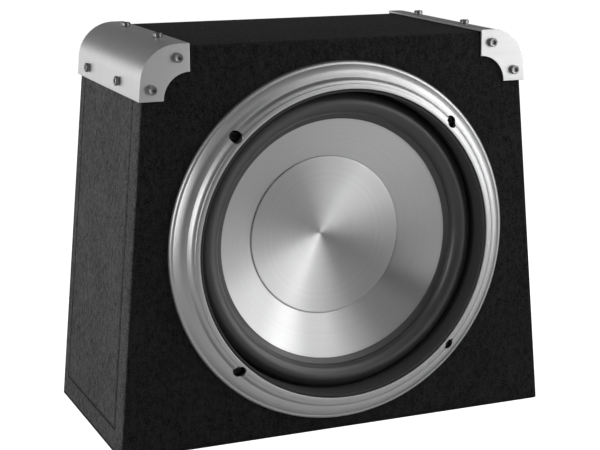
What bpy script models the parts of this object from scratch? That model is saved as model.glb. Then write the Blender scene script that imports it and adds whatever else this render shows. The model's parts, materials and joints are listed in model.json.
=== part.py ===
"""Car subwoofer cabinet: a carpeted trapezoid box with a 12 inch driver, two metal corner
covers and a spring terminal cup on its back.

Frame: +Z up, +X to the right as seen from the front, and the front faces -Y. The origin is
the centre of the base. Every size is in metres.
"""

import math

import bmesh
import bpy
from mathutils import Vector

GAP = 0.0003  # what is left between pieces that touch

# Cabinet, over the carpet
BASE_WIDTH = 0.426
TOP_WIDTH = 0.363
HEIGHT = 0.3605
BASE_DEPTH = 0.196
FRONT_LEAN = 0.010  # how far the front's top edge stands behind its bottom edge
CORNER_RADIUS = 0.032  # of the two long top edges, under the covers
CORNER_STEPS = 6
CARPET = 0.002
BOARD = 0.015
BAFFLE = 0.018
BORDER_FRONT = 0.022  # carpet turned round onto each side, up to the side sheet
BORDER_BACK = 0.016
BORDER_FOOT = 0.020
SEAM = 0.0006

# Corner covers
COVER = 0.0020
COVER_WIDTH = 0.040  # flat top, from the inner edge to the level of the top's outer corner
COVER_DROP = 0.046  # down the side and the two end plates
COVER_SCALLOP = 0.024
COVER_SCREW_FRONT = 0.050  # from the front's top edge to the first screw along the cover
COVER_SCREW_BACK = 0.042
COVER_SCREW_MARGIN = 0.011  # from the top flap's inner edge to a screw's axis
COVER_FOOT_MARGIN = 0.010  # from the cover's lower edge to a screw's axis
COVER_STAGGER = 0.007  # the side screws stand this far behind the top ones

# Socket cap screws, used on the covers and the driver
SCREW_HEAD_RADIUS = 0.0042
SCREW_HEAD_HEIGHT = 0.0034
SCREW_SHANK_RADIUS = 0.0022
SCREW_SHANK_LENGTH = 0.012
SCREW_SOCKET_FLATS = 0.0042
SCREW_SOCKET_DEPTH = 0.0020
SCREW_SEGMENTS = 12

# Driver: radii, and heights above the carpet's face
SEGMENTS = 32
DRIVER_HEIGHT = 0.1764  # from the base, up the leaning front, to the driver's axis
TRIM_RADIUS = 0.165
TRIM_OPENING = 0.1413
TRIM_HEIGHT = 0.0179
TRIM_WALL = 0.0019
TRIM_HOLE_CLEARANCE = 0.0008  # round a screw's head
BOLT_CIRCLE_MARGIN = 0.0074  # from the trim's opening out to the screws
BOLT_COUNT = 4
FLANGE_MARGIN = 0.008  # from the trim's outer edge in to the flange
FLANGE_TOP = 0.0034
SHEET_STEEL = 0.0018
BASKET_MARGIN = 0.0015  # from the trim's opening out to the basket's neck
CUTOUT_CLEARANCE = 0.0007
LEDGE_TOP = -0.0110  # surround landing
LEDGE_WIDTH = 0.0085
GASKET_RING_WIDTH = 0.0021
SURROUND_THICKNESS = 0.0012
ROLL_MARGIN = 0.0041  # from the trim's opening in to the roll
ROLL_WIDTH = 0.0210
CONE_RIM_MARGIN = 0.0007  # from the roll in to the cone's rim
CONE_RIM_WIDTH = 0.0040  # of the cone under the surround's inner lip
CONE_TOP = -0.0096
CONE_SLOPE = 0.605
CONE_THICKNESS = 0.0012
CAP_RADIUS = 0.0740
CAP_DISH = 0.0118
CAP_THICKNESS = 0.0010
POLE_CLEARANCE = 0.0008
FORMER_RADIUS = 0.0320
FORMER_WALL = 0.0006
COIL_THICKNESS = 0.0011
COIL_LENGTH = 0.0180
COIL_CLEARANCE = 0.0010
COIL_DROP = 0.0140  # the coil's lower end, below the basket's can
COLLAR_LENGTH = 0.0018
COLLAR_WALL = 0.0015
SPIDER_DROP = 0.0025  # the spider's landing, below the cone's collar
SPIDER_RADIUS = 0.0790
SPIDER_WAVES = 4
SPIDER_WAVE_HEIGHT = 0.0016
SPIDER_THICKNESS = 0.0008
CAN_RADIUS = 0.0640  # the basket's lower can
CAN_DEPTH = 0.0278
BASKET_WINDOWS = 6
WINDOW_MARGIN = 0.0060  # from the spider's landing out to a window
SPOKE_WIDTH = 0.0370
TOP_PLATE_RADIUS = 0.0640
TOP_PLATE_THICKNESS = 0.0080
MAGNET_RADIUS = 0.0750
MAGNET_BORE_MARGIN = 0.0086  # from the coil out to the magnet's bore
MAGNET_THICKNESS = 0.0220
YOKE_THICKNESS = 0.0080
VENT_RADIUS = 0.0100
TINSEL_DIAMETER = 0.0018
TINSEL_SPACING = 0.0180
TINSEL_JOINT_RADIUS = 0.0620  # where a lead meets the cone's back
LEAD_DIAMETER = 0.0036
TAB_LENGTH = 0.0080
TAB_WIDTH = 0.0060
TAB_THICKNESS = 0.0010

# Terminal cup: sizes across and up, and heights above the carpet on the back
CUP_HEIGHT = 0.0720  # its centre above the base, which keeps the cup below the magnet
CUP_FLANGE = (0.0840, 0.0600, 0.0025)
CUP_BODY = (0.0680, 0.0440, 0.0300)
CUP_RECESS = (0.0640, 0.0400, 0.0140)
CUP_SCREW_SPACING = (0.0750, 0.0510)
LEVER_SPACING = 0.0260
POCKET = (0.0140, 0.0204, 0.0130)
POCKET_FOOT = -0.0086  # the pocket's lower edge, from the cup's centre
LEVER_SIDE_CLEARANCE = 0.0004
LEVER_THICKNESS = 0.0034
LEVER_FOOT = -0.0070
PIN_HEIGHT = 0.0090  # the hinge pin, above the cup's centre
PIN_DEPTH = 0.0165  # the hinge pin, below the carpet's face
PIN_RADIUS = 0.0012
PIN_CLEARANCE = 0.00008
PIN_REACH = 0.0012  # into each cheek
WIRE_HOLE_RADIUS = 0.0018
CONTACT_WIDTH = 0.0060
CONTACT_THICKNESS = 0.0006
CUP_SCREW_HEAD_RADIUS = 0.0030
CUP_SCREW_SHANK_RADIUS = 0.0015

# What the sizes above give
SIDE_SLOPE = (BASE_WIDTH - TOP_WIDTH) / 2 / HEIGHT
FRONT_SLOPE = FRONT_LEAN / HEIGHT
SIDE_STRETCH = math.hypot(1, SIDE_SLOPE)
FRONT_STRETCH = math.hypot(1, FRONT_SLOPE)
LEAN_ANGLE = math.atan(FRONT_SLOPE)
WOOD = CARPET + GAP  # from the carpet's outside in to the wood
FLANGE_RADIUS = TRIM_RADIUS - FLANGE_MARGIN
TRIM_HOLE_RADIUS = SCREW_HEAD_RADIUS + TRIM_HOLE_CLEARANCE
BOLT_CIRCLE_RADIUS = TRIM_OPENING + BOLT_CIRCLE_MARGIN
BASKET_RADIUS = TRIM_OPENING + BASKET_MARGIN
LEDGE_INNER_RADIUS = BASKET_RADIUS - LEDGE_WIDTH
ROLL_OUTER_RADIUS = TRIM_OPENING - ROLL_MARGIN
ROLL_INNER_RADIUS = ROLL_OUTER_RADIUS - ROLL_WIDTH
CONE_RADIUS = ROLL_INNER_RADIUS - CONE_RIM_MARGIN
CONE_VISIBLE_RADIUS = CONE_RADIUS - CONE_RIM_WIDTH
NECK_RADIUS = FORMER_RADIUS + GAP
COIL_OUTER = NECK_RADIUS + COIL_THICKNESS
POLE_RADIUS = FORMER_RADIUS - FORMER_WALL - POLE_CLEARANCE
NECK_TOP = CONE_TOP - (CONE_RADIUS - NECK_RADIUS) * CONE_SLOPE
NECK_BOTTOM = NECK_TOP - COLLAR_LENGTH
SPIDER_LEDGE = NECK_BOTTOM - SPIDER_DROP
CAN_BOTTOM = SPIDER_LEDGE - CAN_DEPTH
FORMER_BOTTOM = CAN_BOTTOM - COIL_DROP
FAR = 2 * max(BASE_WIDTH, HEIGHT, BASE_DEPTH)  # past the whole cabinet


# ---------------------------------------------------------------- scene and materials


def clear_scene():
    for obj in list(bpy.data.objects):
        bpy.data.objects.remove(obj)


def make_collection(name):
    collection = bpy.data.collections.new(name)
    bpy.context.scene.collection.children.link(collection)
    return collection


def make_material(name, colour, roughness, metallic=0.0):
    material = bpy.data.materials.new(name)
    material.use_nodes = True
    shader = material.node_tree.nodes["Principled BSDF"]
    shader.inputs["Base Color"].default_value = (*colour, 1.0)
    shader.inputs["Roughness"].default_value = roughness
    shader.inputs["Metallic"].default_value = metallic
    return material


clear_scene()
PARTS = make_collection("subwoofer_cabinet")
CUTTERS = make_collection("cutters")
FIBREBOARD = make_material("fibreboard", (0.42, 0.30, 0.19), 0.85)
BLACK_CARPET = make_material("black_carpet", (0.02, 0.02, 0.021), 1.0)
BRUSHED_COVER = make_material("brushed_cover", (0.72, 0.72, 0.72), 0.35, 1.0)
SCREW_STEEL = make_material("screw_steel", (0.55, 0.55, 0.56), 0.25, 1.0)
CAST_TRIM = make_material("cast_trim", (0.70, 0.70, 0.71), 0.28, 1.0)
SPUN_ALUMINIUM = make_material("spun_aluminium", (0.74, 0.74, 0.75), 0.30, 1.0)
BLACK_RUBBER = make_material("black_rubber", (0.03, 0.03, 0.03), 0.5)
BLACK_STEEL = make_material("black_steel", (0.03, 0.03, 0.03), 0.45, 0.6)
PLATED_STEEL = make_material("plated_steel", (0.60, 0.59, 0.56), 0.35, 1.0)
FERRITE = make_material("ferrite", (0.06, 0.06, 0.065), 0.55)
COPPER = make_material("copper", (0.72, 0.32, 0.16), 0.35, 1.0)
FORMER_FILM = make_material("former_film", (0.12, 0.11, 0.10), 0.5)
SPIDER_CLOTH = make_material("spider_cloth", (0.55, 0.42, 0.20), 0.9)
BLACK_PLASTIC = make_material("black_plastic", (0.02, 0.02, 0.02), 0.4)
RED_PLASTIC = make_material("red_plastic", (0.55, 0.02, 0.02), 0.35)


def add_object(name, data, material=None, parent=None):
    """Link an object: a part if it has a material, and otherwise a hidden cutter."""
    obj = bpy.data.objects.new(name, data)
    if material is None:
        CUTTERS.objects.link(obj)
        obj.hide_render = True
        obj.display_type = "WIRE"
    else:
        PARTS.objects.link(obj)
        if not data.materials:
            data.materials.append(material)
    obj.parent = parent
    return obj


def make_empty(name, location, rotation):
    empty = bpy.data.objects.new(name, None)
    PARTS.objects.link(empty)
    empty.location = location
    empty.rotation_euler = rotation
    return empty


# ---------------------------------------------------------------- shapes


def mesh_from(bm, name):
    bmesh.ops.recalc_face_normals(bm, faces=bm.faces)
    mesh = bpy.data.meshes.new(name)
    bm.to_mesh(mesh)
    bm.free()
    return mesh


def prism(name, outline, front, back, material=None):
    """Extrude an outline of (x, z) points along Y, from front(z) to back(z)."""
    bm = bmesh.new()
    face = bm.faces.new([bm.verts.new((x, front(z), z)) for x, z in outline])
    made = bmesh.ops.extrude_face_region(bm, geom=[face])["geom"]
    for vertex in (item for item in made if isinstance(item, bmesh.types.BMVert)):
        vertex.co.y = back(vertex.co.z)
    return add_object(name, mesh_from(bm, name), material)


def box(name, low, high, material=None, parent=None):
    bm = bmesh.new()
    bmesh.ops.create_cube(bm, size=1)
    size = Vector(high) - Vector(low)
    bmesh.ops.scale(bm, vec=size, verts=bm.verts)
    bmesh.ops.translate(bm, vec=(Vector(low) + Vector(high)) / 2, verts=bm.verts)
    return add_object(name, mesh_from(bm, name), material, parent)


def cylinder(name, radius, low, high, material=None, parent=None, segments=SEGMENTS, centre=(0, 0)):
    """A cylinder along its frame's Z."""
    bm = bmesh.new()
    bmesh.ops.create_cone(
        bm, cap_ends=True, segments=segments, radius1=radius, radius2=radius, depth=high - low
    )
    bmesh.ops.translate(bm, vec=(*centre, (low + high) / 2), verts=bm.verts)
    return add_object(name, mesh_from(bm, name), material, parent)


def turned(name, profile, material, parent):
    """Turn a profile of (radius, height) points, outer side first and downwards, about Z."""
    closed = profile[0][0] > 0
    edges = [(i, i + 1) for i in range(len(profile) - 1)]
    if closed:
        edges.append((len(profile) - 1, 0))
    mesh = bpy.data.meshes.new(name)
    mesh.from_pydata([(radius, 0, height) for radius, height in profile], edges, [])
    obj = add_object(name, mesh, material, parent)
    screw = obj.modifiers.new("turn", "SCREW")
    screw.steps = screw.render_steps = SEGMENTS
    screw.use_merge_vertices = True
    screw.merge_threshold = 0.00001
    return obj


def boolean(obj, operation, *others):
    for other in others:
        modifier = obj.modifiers.new(f"{operation.lower()} {other.name}", "BOOLEAN")
        modifier.operation = operation
        modifier.solver = "EXACT"
        modifier.object = other


def cut(obj, *cutters):
    boolean(obj, "DIFFERENCE", *cutters)


def keep_inside(obj, *cutters):
    boolean(obj, "INTERSECT", *cutters)


def arc(centre, radius, start, end, steps):
    """Points of an arc in a profile's plane, with its angles in degrees."""
    points = []
    for i in range(steps + 1):
        angle = math.radians(start + (end - start) * i / steps)
        points.append((centre[0] + radius * math.cos(angle), centre[1] + radius * math.sin(angle)))
    return points


def smooth_route(route, spacing):
    """Points about spacing apart, on a smooth curve through the route's own points."""
    knots = [Vector(p) for p in route]
    knots = [2 * knots[0] - knots[1], *knots, 2 * knots[-1] - knots[-2]]
    points = [knots[1]]
    for before, start, end, after in zip(knots, knots[1:], knots[2:], knots[3:]):
        steps = max(1, round((end - start).length / spacing))
        for i in range(1, steps + 1):
            t = i / steps
            points.append(
                0.5
                * (
                    2 * start
                    + (end - before) * t
                    + (2 * before - 5 * start + 4 * end - after) * t**2
                    + (3 * start - before - 3 * end + after) * t**3
                )
            )
    return points


def wire(name, route, diameter, material):
    curve = bpy.data.curves.new(name, "CURVE")
    curve.dimensions = "3D"
    curve.bevel_depth = diameter / 2
    curve.bevel_resolution = 2
    curve.use_fill_caps = True
    points = smooth_route(route, 3 * diameter)
    spline = curve.splines.new("POLY")
    spline.points.add(len(points) - 1)
    for target, point in zip(spline.points, points):
        target.co = (*point, 1)
    return add_object(name, curve, material)


# ---------------------------------------------------------------- cabinet envelope


def side_x(z, inset):
    """The right side's plane at height z, moved in by inset."""
    return BASE_WIDTH / 2 - SIDE_SLOPE * z - inset * SIDE_STRETCH


def front_at(inset):
    return lambda z: -BASE_DEPTH / 2 + FRONT_SLOPE * z + inset * FRONT_STRETCH


def back_at(inset):
    return lambda z: BASE_DEPTH / 2 - inset


def flat_at(y):
    return lambda z: y


CORNER_CENTRE_Z = HEIGHT - CORNER_RADIUS
CORNER_CENTRE_X = side_x(CORNER_CENTRE_Z, CORNER_RADIUS)


def cabinet_outline(inset, foot):
    """The cabinet's front outline moved in by inset, with its two rounded top corners."""
    corner = arc(
        (CORNER_CENTRE_X, CORNER_CENTRE_Z),
        CORNER_RADIUS - inset,
        math.degrees(math.atan(SIDE_SLOPE)),
        90,
        CORNER_STEPS,
    )
    right = [(side_x(foot, inset), foot), *corner]
    return right + [(-x, z) for x, z in reversed(right)]


def side_strip(side, outer_inset, inner_inset, low, high):
    """A strip down one sloping side, between two insets and two heights."""
    return [
        (side * side_x(low, inner_inset), low),
        (side * side_x(low, outer_inset), low),
        (side * side_x(high, outer_inset), high),
        (side * side_x(high, inner_inset), high),
    ]


# ---------------------------------------------------------------- frames on the cabinet

DRIVER_FRAME = make_empty(
    "driver_frame",
    (0, front_at(0)(DRIVER_HEIGHT * math.cos(LEAN_ANGLE)), DRIVER_HEIGHT * math.cos(LEAN_ANGLE)),
    (math.pi / 2 - LEAN_ANGLE, 0, 0),
)
CONE_SLIDE = bpy.data.objects.new("cone_slide", None)
PARTS.objects.link(CONE_SLIDE)
CONE_SLIDE.parent = DRIVER_FRAME
CUP_FRAME = make_empty(
    "terminal_frame", (0, back_at(0)(CUP_HEIGHT), CUP_HEIGHT), (math.pi / 2, 0, math.pi)
)
bpy.context.view_layer.update()


def in_driver(x, y, z):
    return DRIVER_FRAME.matrix_world @ Vector((x, y, z))


def in_cup(x, y, z):
    return CUP_FRAME.matrix_world @ Vector((x, y, z))


# ---------------------------------------------------------------- screws


def extrude_face(bm, face):
    """Extrude one face of a growing solid and return its new end face."""
    made = bmesh.ops.extrude_face_region(bm, geom=[face, *face.edges])["geom"]
    return next(item for item in made if isinstance(item, bmesh.types.BMFace))


def socket_screw_mesh():
    """A socket cap screw along +Z, with its head seated at zero: one face pushed ring by ring."""
    corner = SCREW_SOCKET_FLATS / 2 / math.cos(math.pi / 6)
    rings = [
        (SCREW_SHANK_RADIUS, 0, False),
        (SCREW_HEAD_RADIUS, 0, False),
        (SCREW_HEAD_RADIUS, SCREW_HEAD_HEIGHT, False),
        (corner, SCREW_HEAD_HEIGHT, True),
        (corner, SCREW_HEAD_HEIGHT - SCREW_SOCKET_DEPTH, True),
    ]
    bm = bmesh.new()
    bmesh.ops.create_circle(bm, cap_ends=True, segments=SCREW_SEGMENTS, radius=SCREW_SHANK_RADIUS)
    bmesh.ops.translate(bm, vec=(0, 0, -SCREW_SHANK_LENGTH), verts=bm.verts)
    bm.faces.ensure_lookup_table()
    face = bm.faces[0]
    for radius, height, hexagonal in rings:
        face = extrude_face(bm, face)
        for number, vertex in enumerate(face.verts):
            flat = math.cos(math.pi / 6) if hexagonal and number % 2 else 1
            direction = Vector((vertex.co.x, vertex.co.y)).normalized()
            vertex.co = (*(direction * radius * flat), height)
    return mesh_from(bm, "socket_screw")


def pan_screw_mesh():
    bm = bmesh.new()
    rings = [
        (CUP_SCREW_SHANK_RADIUS, 0),
        (CUP_SCREW_HEAD_RADIUS, 0),
        (CUP_SCREW_HEAD_RADIUS, 0.0012),
        (CUP_SCREW_HEAD_RADIUS * 0.55, 0.0022),
    ]
    bmesh.ops.create_circle(bm, cap_ends=True, segments=8, radius=CUP_SCREW_SHANK_RADIUS)
    bmesh.ops.translate(bm, vec=(0, 0, -SCREW_SHANK_LENGTH), verts=bm.verts)
    bm.faces.ensure_lookup_table()
    face = bm.faces[0]
    for radius, height in rings:
        face = extrude_face(bm, face)
        for vertex in face.verts:
            direction = Vector((vertex.co.x, vertex.co.y)).normalized()
            vertex.co = (*(direction * radius), height)
    return mesh_from(bm, "pan_screw")


SOCKET_SCREW = socket_screw_mesh()
PAN_SCREW = pan_screw_mesh()


def place_screw(name, mesh, seat, outward, shank_radius):
    """A screw whose head sits GAP above seat, and the cutter for its shank's hole."""
    turn = Vector(outward).to_track_quat("Z", "Y").to_euler()
    screw = add_object(name, mesh, SCREW_STEEL)
    screw.location = Vector(seat) + Vector(outward).normalized() * GAP
    screw.rotation_euler = turn
    hole = cylinder(
        f"{name}_hole",
        shank_radius + GAP,
        -SCREW_SHANK_LENGTH - 2 * GAP,
        SCREW_HEAD_HEIGHT,
        segments=SCREW_SEGMENTS,
    )
    hole.location = seat
    hole.rotation_euler = turn
    return hole


# ---------------------------------------------------------------- corner covers

COVER_OUT = GAP + COVER
COVER_INNER_X = TOP_WIDTH / 2 - COVER_WIDTH
COVER_FOOT = HEIGHT - COVER_DROP
COVER_SIDES = {"left": -1, "right": 1}


def cover_screw_seats(side):
    """Name, seat and outward direction of each screw on one cover."""
    top_y = (front_at(0)(HEIGHT) + COVER_SCREW_FRONT, back_at(0)(HEIGHT) - COVER_SCREW_BACK)
    side_z = COVER_FOOT + COVER_FOOT_MARGIN
    scallop_top = COVER_FOOT + COVER_SCALLOP
    scallop_side = COVER_INNER_X + COVER_SCALLOP
    inner = (COVER_INNER_X + COVER_SCREW_MARGIN, (scallop_top + HEIGHT + COVER_OUT) / 2)
    outer = ((scallop_side + side_x(side_z, -COVER_OUT)) / 2, side_z)
    front_normal = (0, -1, FRONT_SLOPE)
    seats = []
    for place, y in zip(("front", "rear"), top_y):
        seats.append((f"top_{place}", (side * inner[0], y, HEIGHT + COVER_OUT), (0, 0, 1)))
        flank = (side * side_x(side_z, -COVER_OUT), y + COVER_STAGGER, side_z)
        seats.append((f"side_{place}", flank, (side, 0, SIDE_SLOPE)))
    for place, (x, z) in {"inner": inner, "outer": outer}.items():
        seats.append((f"face_{place}", (side * x, front_at(-COVER_OUT)(z), z), front_normal))
        seats.append((f"back_{place}", (side * x, back_at(-COVER_OUT)(z), z), (0, 1, 0)))
    return seats


def make_covers():
    """Both covers and their screws. Returns the cutters for the screw holes."""
    holes = []
    hollow = prism(
        "cover_hollow", cabinet_outline(-GAP, -FAR), front_at(-GAP), back_at(-GAP)
    )
    for name, side in COVER_SIDES.items():
        region = [
            (side * COVER_INNER_X, COVER_FOOT),
            (side * FAR, COVER_FOOT),
            (side * FAR, FAR),
            (side * COVER_INNER_X, FAR),
        ]
        corner = prism(f"{name}_cover_region", region, flat_at(-FAR), flat_at(FAR))
        scallop = cylinder(f"{name}_cover_scallop", COVER_SCALLOP, -FAR, FAR, segments=32)
        scallop.location = (side * COVER_INNER_X, 0, COVER_FOOT)
        scallop.rotation_euler = (math.pi / 2, 0, 0)
        cover = prism(
            f"{name}_corner_cover",
            cabinet_outline(-COVER_OUT, 0),
            front_at(-COVER_OUT),
            back_at(-COVER_OUT),
            BRUSHED_COVER,
        )
        cut(cover, hollow)
        keep_inside(cover, corner)
        cut(cover, scallop)
        for place, seat, outward in cover_screw_seats(side):
            screw = f"{name}_cover_screw_{place}"
            hole = place_screw(screw, SOCKET_SCREW, seat, outward, SCREW_SHANK_RADIUS)
            cut(cover, hole)
            holes.append((place.split("_")[0], side, hole))
    return holes


# ---------------------------------------------------------------- driver


def make_trim_ring(holes):
    r, h = TRIM_OPENING, TRIM_HEIGHT
    outside = [
        (r + 0.0010, h),
        (r + 0.0038, h - 0.0016),
        (r + 0.0068, h - 0.0029),
        (r + 0.0098, h - 0.0066),
        (r + 0.0138, h - 0.0080),
        (r + 0.0176, h - 0.0102),
        (r + 0.0206, h - 0.0134),
        (TRIM_RADIUS - 0.0014, 0.0042),
        (TRIM_RADIUS, 0.0024),
        (TRIM_RADIUS, GAP),
    ]
    underside = [
        (TRIM_RADIUS - TRIM_WALL, GAP),
        (FLANGE_RADIUS + 0.0022, FLANGE_TOP + GAP),
        (BOLT_CIRCLE_RADIUS + 0.0023, FLANGE_TOP + 0.0050),
        (r + 0.0045, h - 0.0050),
        (r + TRIM_WALL, h - 0.0034),
        (r + TRIM_WALL, FLANGE_TOP + GAP),
        (r, FLANGE_TOP + GAP),
        (r, h - 0.0008),
    ]
    ring = turned("trim_ring", outside + underside, CAST_TRIM, DRIVER_FRAME)
    cut(ring, *holes)


def make_basket(holes):
    """Flange, surround landing, spoked bowl, spider landing and lower can, pressed from sheet."""
    steel = SHEET_STEEL
    can_inner = CAN_RADIUS - steel
    profile = [
        (FLANGE_RADIUS, FLANGE_TOP),
        (FLANGE_RADIUS, FLANGE_TOP - steel),
        (BASKET_RADIUS, FLANGE_TOP - steel),
        (BASKET_RADIUS, LEDGE_TOP - steel),
        (LEDGE_INNER_RADIUS + 0.0007, LEDGE_TOP - steel),
        (SPIDER_RADIUS + 0.0020, SPIDER_LEDGE - steel),
        (CAN_RADIUS, SPIDER_LEDGE - steel),
        (CAN_RADIUS, CAN_BOTTOM),
        (COIL_OUTER + COIL_CLEARANCE + 0.0016, CAN_BOTTOM),
        (COIL_OUTER + COIL_CLEARANCE + 0.0016, CAN_BOTTOM + steel),
        (can_inner, CAN_BOTTOM + steel),
        (can_inner, SPIDER_LEDGE),
        (SPIDER_RADIUS + 0.0013, SPIDER_LEDGE),
        (LEDGE_INNER_RADIUS, LEDGE_TOP),
        (BASKET_RADIUS - steel, LEDGE_TOP),
        (BASKET_RADIUS - steel, FLANGE_TOP),
    ]
    basket = turned("basket", profile, BLACK_STEEL, DRIVER_FRAME)
    near, far = SPIDER_RADIUS + WINDOW_MARGIN, LEDGE_INNER_RADIUS - WINDOW_MARGIN
    spoke = SPOKE_WIDTH / 2
    half = math.pi / BASKET_WINDOWS
    for number in range(BASKET_WINDOWS):
        bm = bmesh.new()
        corners = [
            (near, -near * half + spoke),
            (far, -far * half + spoke),
            (far, far * half - spoke),
            (near, near * half - spoke),
        ]
        face = bm.faces.new([bm.verts.new((x, y, SPIDER_LEDGE - 0.01)) for x, y in corners])
        made = bmesh.ops.extrude_face_region(bm, geom=[face])["geom"]
        top = [item for item in made if isinstance(item, bmesh.types.BMVert)]
        bmesh.ops.translate(bm, vec=(0, 0, 0.01 - SPIDER_LEDGE), verts=top)
        window = add_object(f"window_{number}", mesh_from(bm, "window"), None, DRIVER_FRAME)
        window.rotation_euler = (0, 0, -math.pi / 2 + 2 * half * number)
        cut(basket, window)
    cut(basket, *holes)


def make_surround():
    """A rubber half roll between the basket's landing and the cone's rim."""
    t = SURROUND_THICKNESS
    landing = LEDGE_TOP + GAP
    outer = BASKET_RADIUS - SHEET_STEEL - GAP
    rise = (CONE_RADIUS - CONE_VISIBLE_RADIUS) * CONE_SLOPE
    glue = CONE_TOP + GAP
    centre = ((ROLL_INNER_RADIUS + ROLL_OUTER_RADIUS) / 2, landing + t)
    radius = (ROLL_OUTER_RADIUS - ROLL_INNER_RADIUS) / 2
    profile = [(outer, landing + t), (outer, landing), (ROLL_OUTER_RADIUS - t, landing)]
    profile += arc(centre, radius - t, 0, 165, 6)[1:]
    profile += [
        (CONE_RADIUS, glue),
        (CONE_VISIBLE_RADIUS, glue - rise),
        (CONE_VISIBLE_RADIUS, glue - rise + 0.8 * t),
    ]
    profile += arc(centre, radius, 165, 0, 6)
    turned("surround", profile, BLACK_RUBBER, DRIVER_FRAME)


def cone_face(radius):
    return CONE_TOP - (CONE_RADIUS - radius) * CONE_SLOPE


def make_moving_assembly():
    """Cone, dust cap, former and voice coil, which travel together along the driver's axis."""
    collar = NECK_RADIUS + COLLAR_WALL
    turned(
        "cone",
        [
            (CONE_RADIUS, CONE_TOP),
            (CONE_RADIUS, CONE_TOP - CONE_THICKNESS),
            (collar, cone_face(collar) - CONE_THICKNESS),
            (collar, NECK_BOTTOM),
            (NECK_RADIUS, NECK_BOTTOM),
            (NECK_RADIUS, NECK_TOP),
        ],
        SPUN_ALUMINIUM,
        CONE_SLIDE,
    )
    rim = cone_face(CAP_RADIUS) + GAP + 0.0010
    turned(
        "dust_cap",
        [
            (0, rim - CAP_DISH),
            (CAP_RADIUS - 0.0012, rim),
            (CAP_RADIUS, rim - 0.0005),
            (CAP_RADIUS, rim - 0.0009),
            (CAP_RADIUS - 0.0020, rim - 0.0012),
            (0, rim - CAP_DISH - CAP_THICKNESS),
        ],
        SPUN_ALUMINIUM,
        CONE_SLIDE,
    )
    former_top = NECK_TOP - GAP
    former_inner = FORMER_RADIUS - FORMER_WALL
    turned(
        "coil_former",
        [
            (FORMER_RADIUS, former_top),
            (FORMER_RADIUS, FORMER_BOTTOM),
            (former_inner, FORMER_BOTTOM),
            (former_inner, former_top),
        ],
        FORMER_FILM,
        CONE_SLIDE,
    )
    coil_top = FORMER_BOTTOM + COIL_LENGTH
    turned(
        "voice_coil",
        [
            (COIL_OUTER, coil_top),
            (COIL_OUTER, FORMER_BOTTOM),
            (COIL_OUTER - COIL_THICKNESS, FORMER_BOTTOM),
            (COIL_OUTER - COIL_THICKNESS, coil_top),
        ],
        COPPER,
        CONE_SLIDE,
    )


def make_spider():
    """A corrugated cloth disc from the former to the basket's lower landing."""
    middle = SPIDER_LEDGE + GAP + SPIDER_THICKNESS / 2
    wave_start, wave_end = FORMER_RADIUS + 0.006, CAN_RADIUS - SHEET_STEEL - 0.002
    line = [(SPIDER_RADIUS, middle)]
    steps = 2 * SPIDER_WAVES + 1
    for i in range(steps + 1):
        radius = wave_end + (wave_start - wave_end) * i / steps
        crest = 0 if i in (0, steps) else SPIDER_WAVE_HEIGHT * (-1) ** i
        line.append((radius, middle + crest))
    line.append((NECK_RADIUS, middle))
    half = SPIDER_THICKNESS / 2
    under = [(r, z - half) for r, z in line]
    over = [(r, z + half) for r, z in reversed(line)]
    turned("spider", under + over, SPIDER_CLOTH, DRIVER_FRAME)


def make_motor():
    plate_top = CAN_BOTTOM - GAP
    plate_bottom = plate_top - TOP_PLATE_THICKNESS
    gap_outer = COIL_OUTER + COIL_CLEARANCE
    turned(
        "top_plate",
        [
            (TOP_PLATE_RADIUS, plate_top),
            (TOP_PLATE_RADIUS, plate_bottom),
            (gap_outer, plate_bottom),
            (gap_outer, plate_top),
        ],
        PLATED_STEEL,
        DRIVER_FRAME,
    )
    magnet_top = plate_bottom - GAP
    magnet_bottom = magnet_top - MAGNET_THICKNESS
    turned(
        "magnet",
        [
            (MAGNET_RADIUS, magnet_top),
            (MAGNET_RADIUS, magnet_bottom),
            (COIL_OUTER + MAGNET_BORE_MARGIN, magnet_bottom),
            (COIL_OUTER + MAGNET_BORE_MARGIN, magnet_top),
        ],
        FERRITE,
        DRIVER_FRAME,
    )
    yoke_top = magnet_bottom - GAP
    turned(
        "yoke",
        [
            (POLE_RADIUS, plate_top),
            (POLE_RADIUS, yoke_top),
            (TOP_PLATE_RADIUS, yoke_top),
            (TOP_PLATE_RADIUS, yoke_top - YOKE_THICKNESS),
            (VENT_RADIUS, yoke_top - YOKE_THICKNESS),
            (VENT_RADIUS, plate_top),
        ],
        PLATED_STEEL,
        DRIVER_FRAME,
    )


STRIP_DEPTH = 0.0060
STRIP_FAR_Y = -CAN_RADIUS - GAP - STRIP_DEPTH
STRIP_TOP = SPIDER_LEDGE - SHEET_STEEL - 0.006
STRIP_BOTTOM = CAN_BOTTOM + 0.006
TAB_LEVEL = STRIP_BOTTOM + 0.003


def make_terminal_strip():
    """An insulating strip under the basket's can, with a solder tab for each lead."""
    half = TINSEL_SPACING / 2 + 0.006
    strip = box(
        "terminal_strip",
        (-half, STRIP_FAR_Y, STRIP_BOTTOM),
        (half, -CAN_RADIUS - GAP, STRIP_TOP),
        BLACK_PLASTIC,
        DRIVER_FRAME,
    )
    for side in (-1, 1):
        x = side * TINSEL_SPACING / 2
        tab = box(
            f"tab_{side}",
            (x - TAB_WIDTH / 2, STRIP_FAR_Y - TAB_LENGTH, TAB_LEVEL - TAB_THICKNESS / 2),
            (x + TAB_WIDTH / 2, STRIP_FAR_Y + 0.001, TAB_LEVEL + TAB_THICKNESS / 2),
            parent=DRIVER_FRAME,
        )
        boolean(strip, "UNION", tab)


def basket_wall(radius):
    """Height of the basket's sloping wall at a radius."""
    slope = (LEDGE_TOP - SPIDER_LEDGE) / (LEDGE_INNER_RADIUS - SPIDER_RADIUS)
    return SPIDER_LEDGE + (radius - SPIDER_RADIUS) * slope


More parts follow.
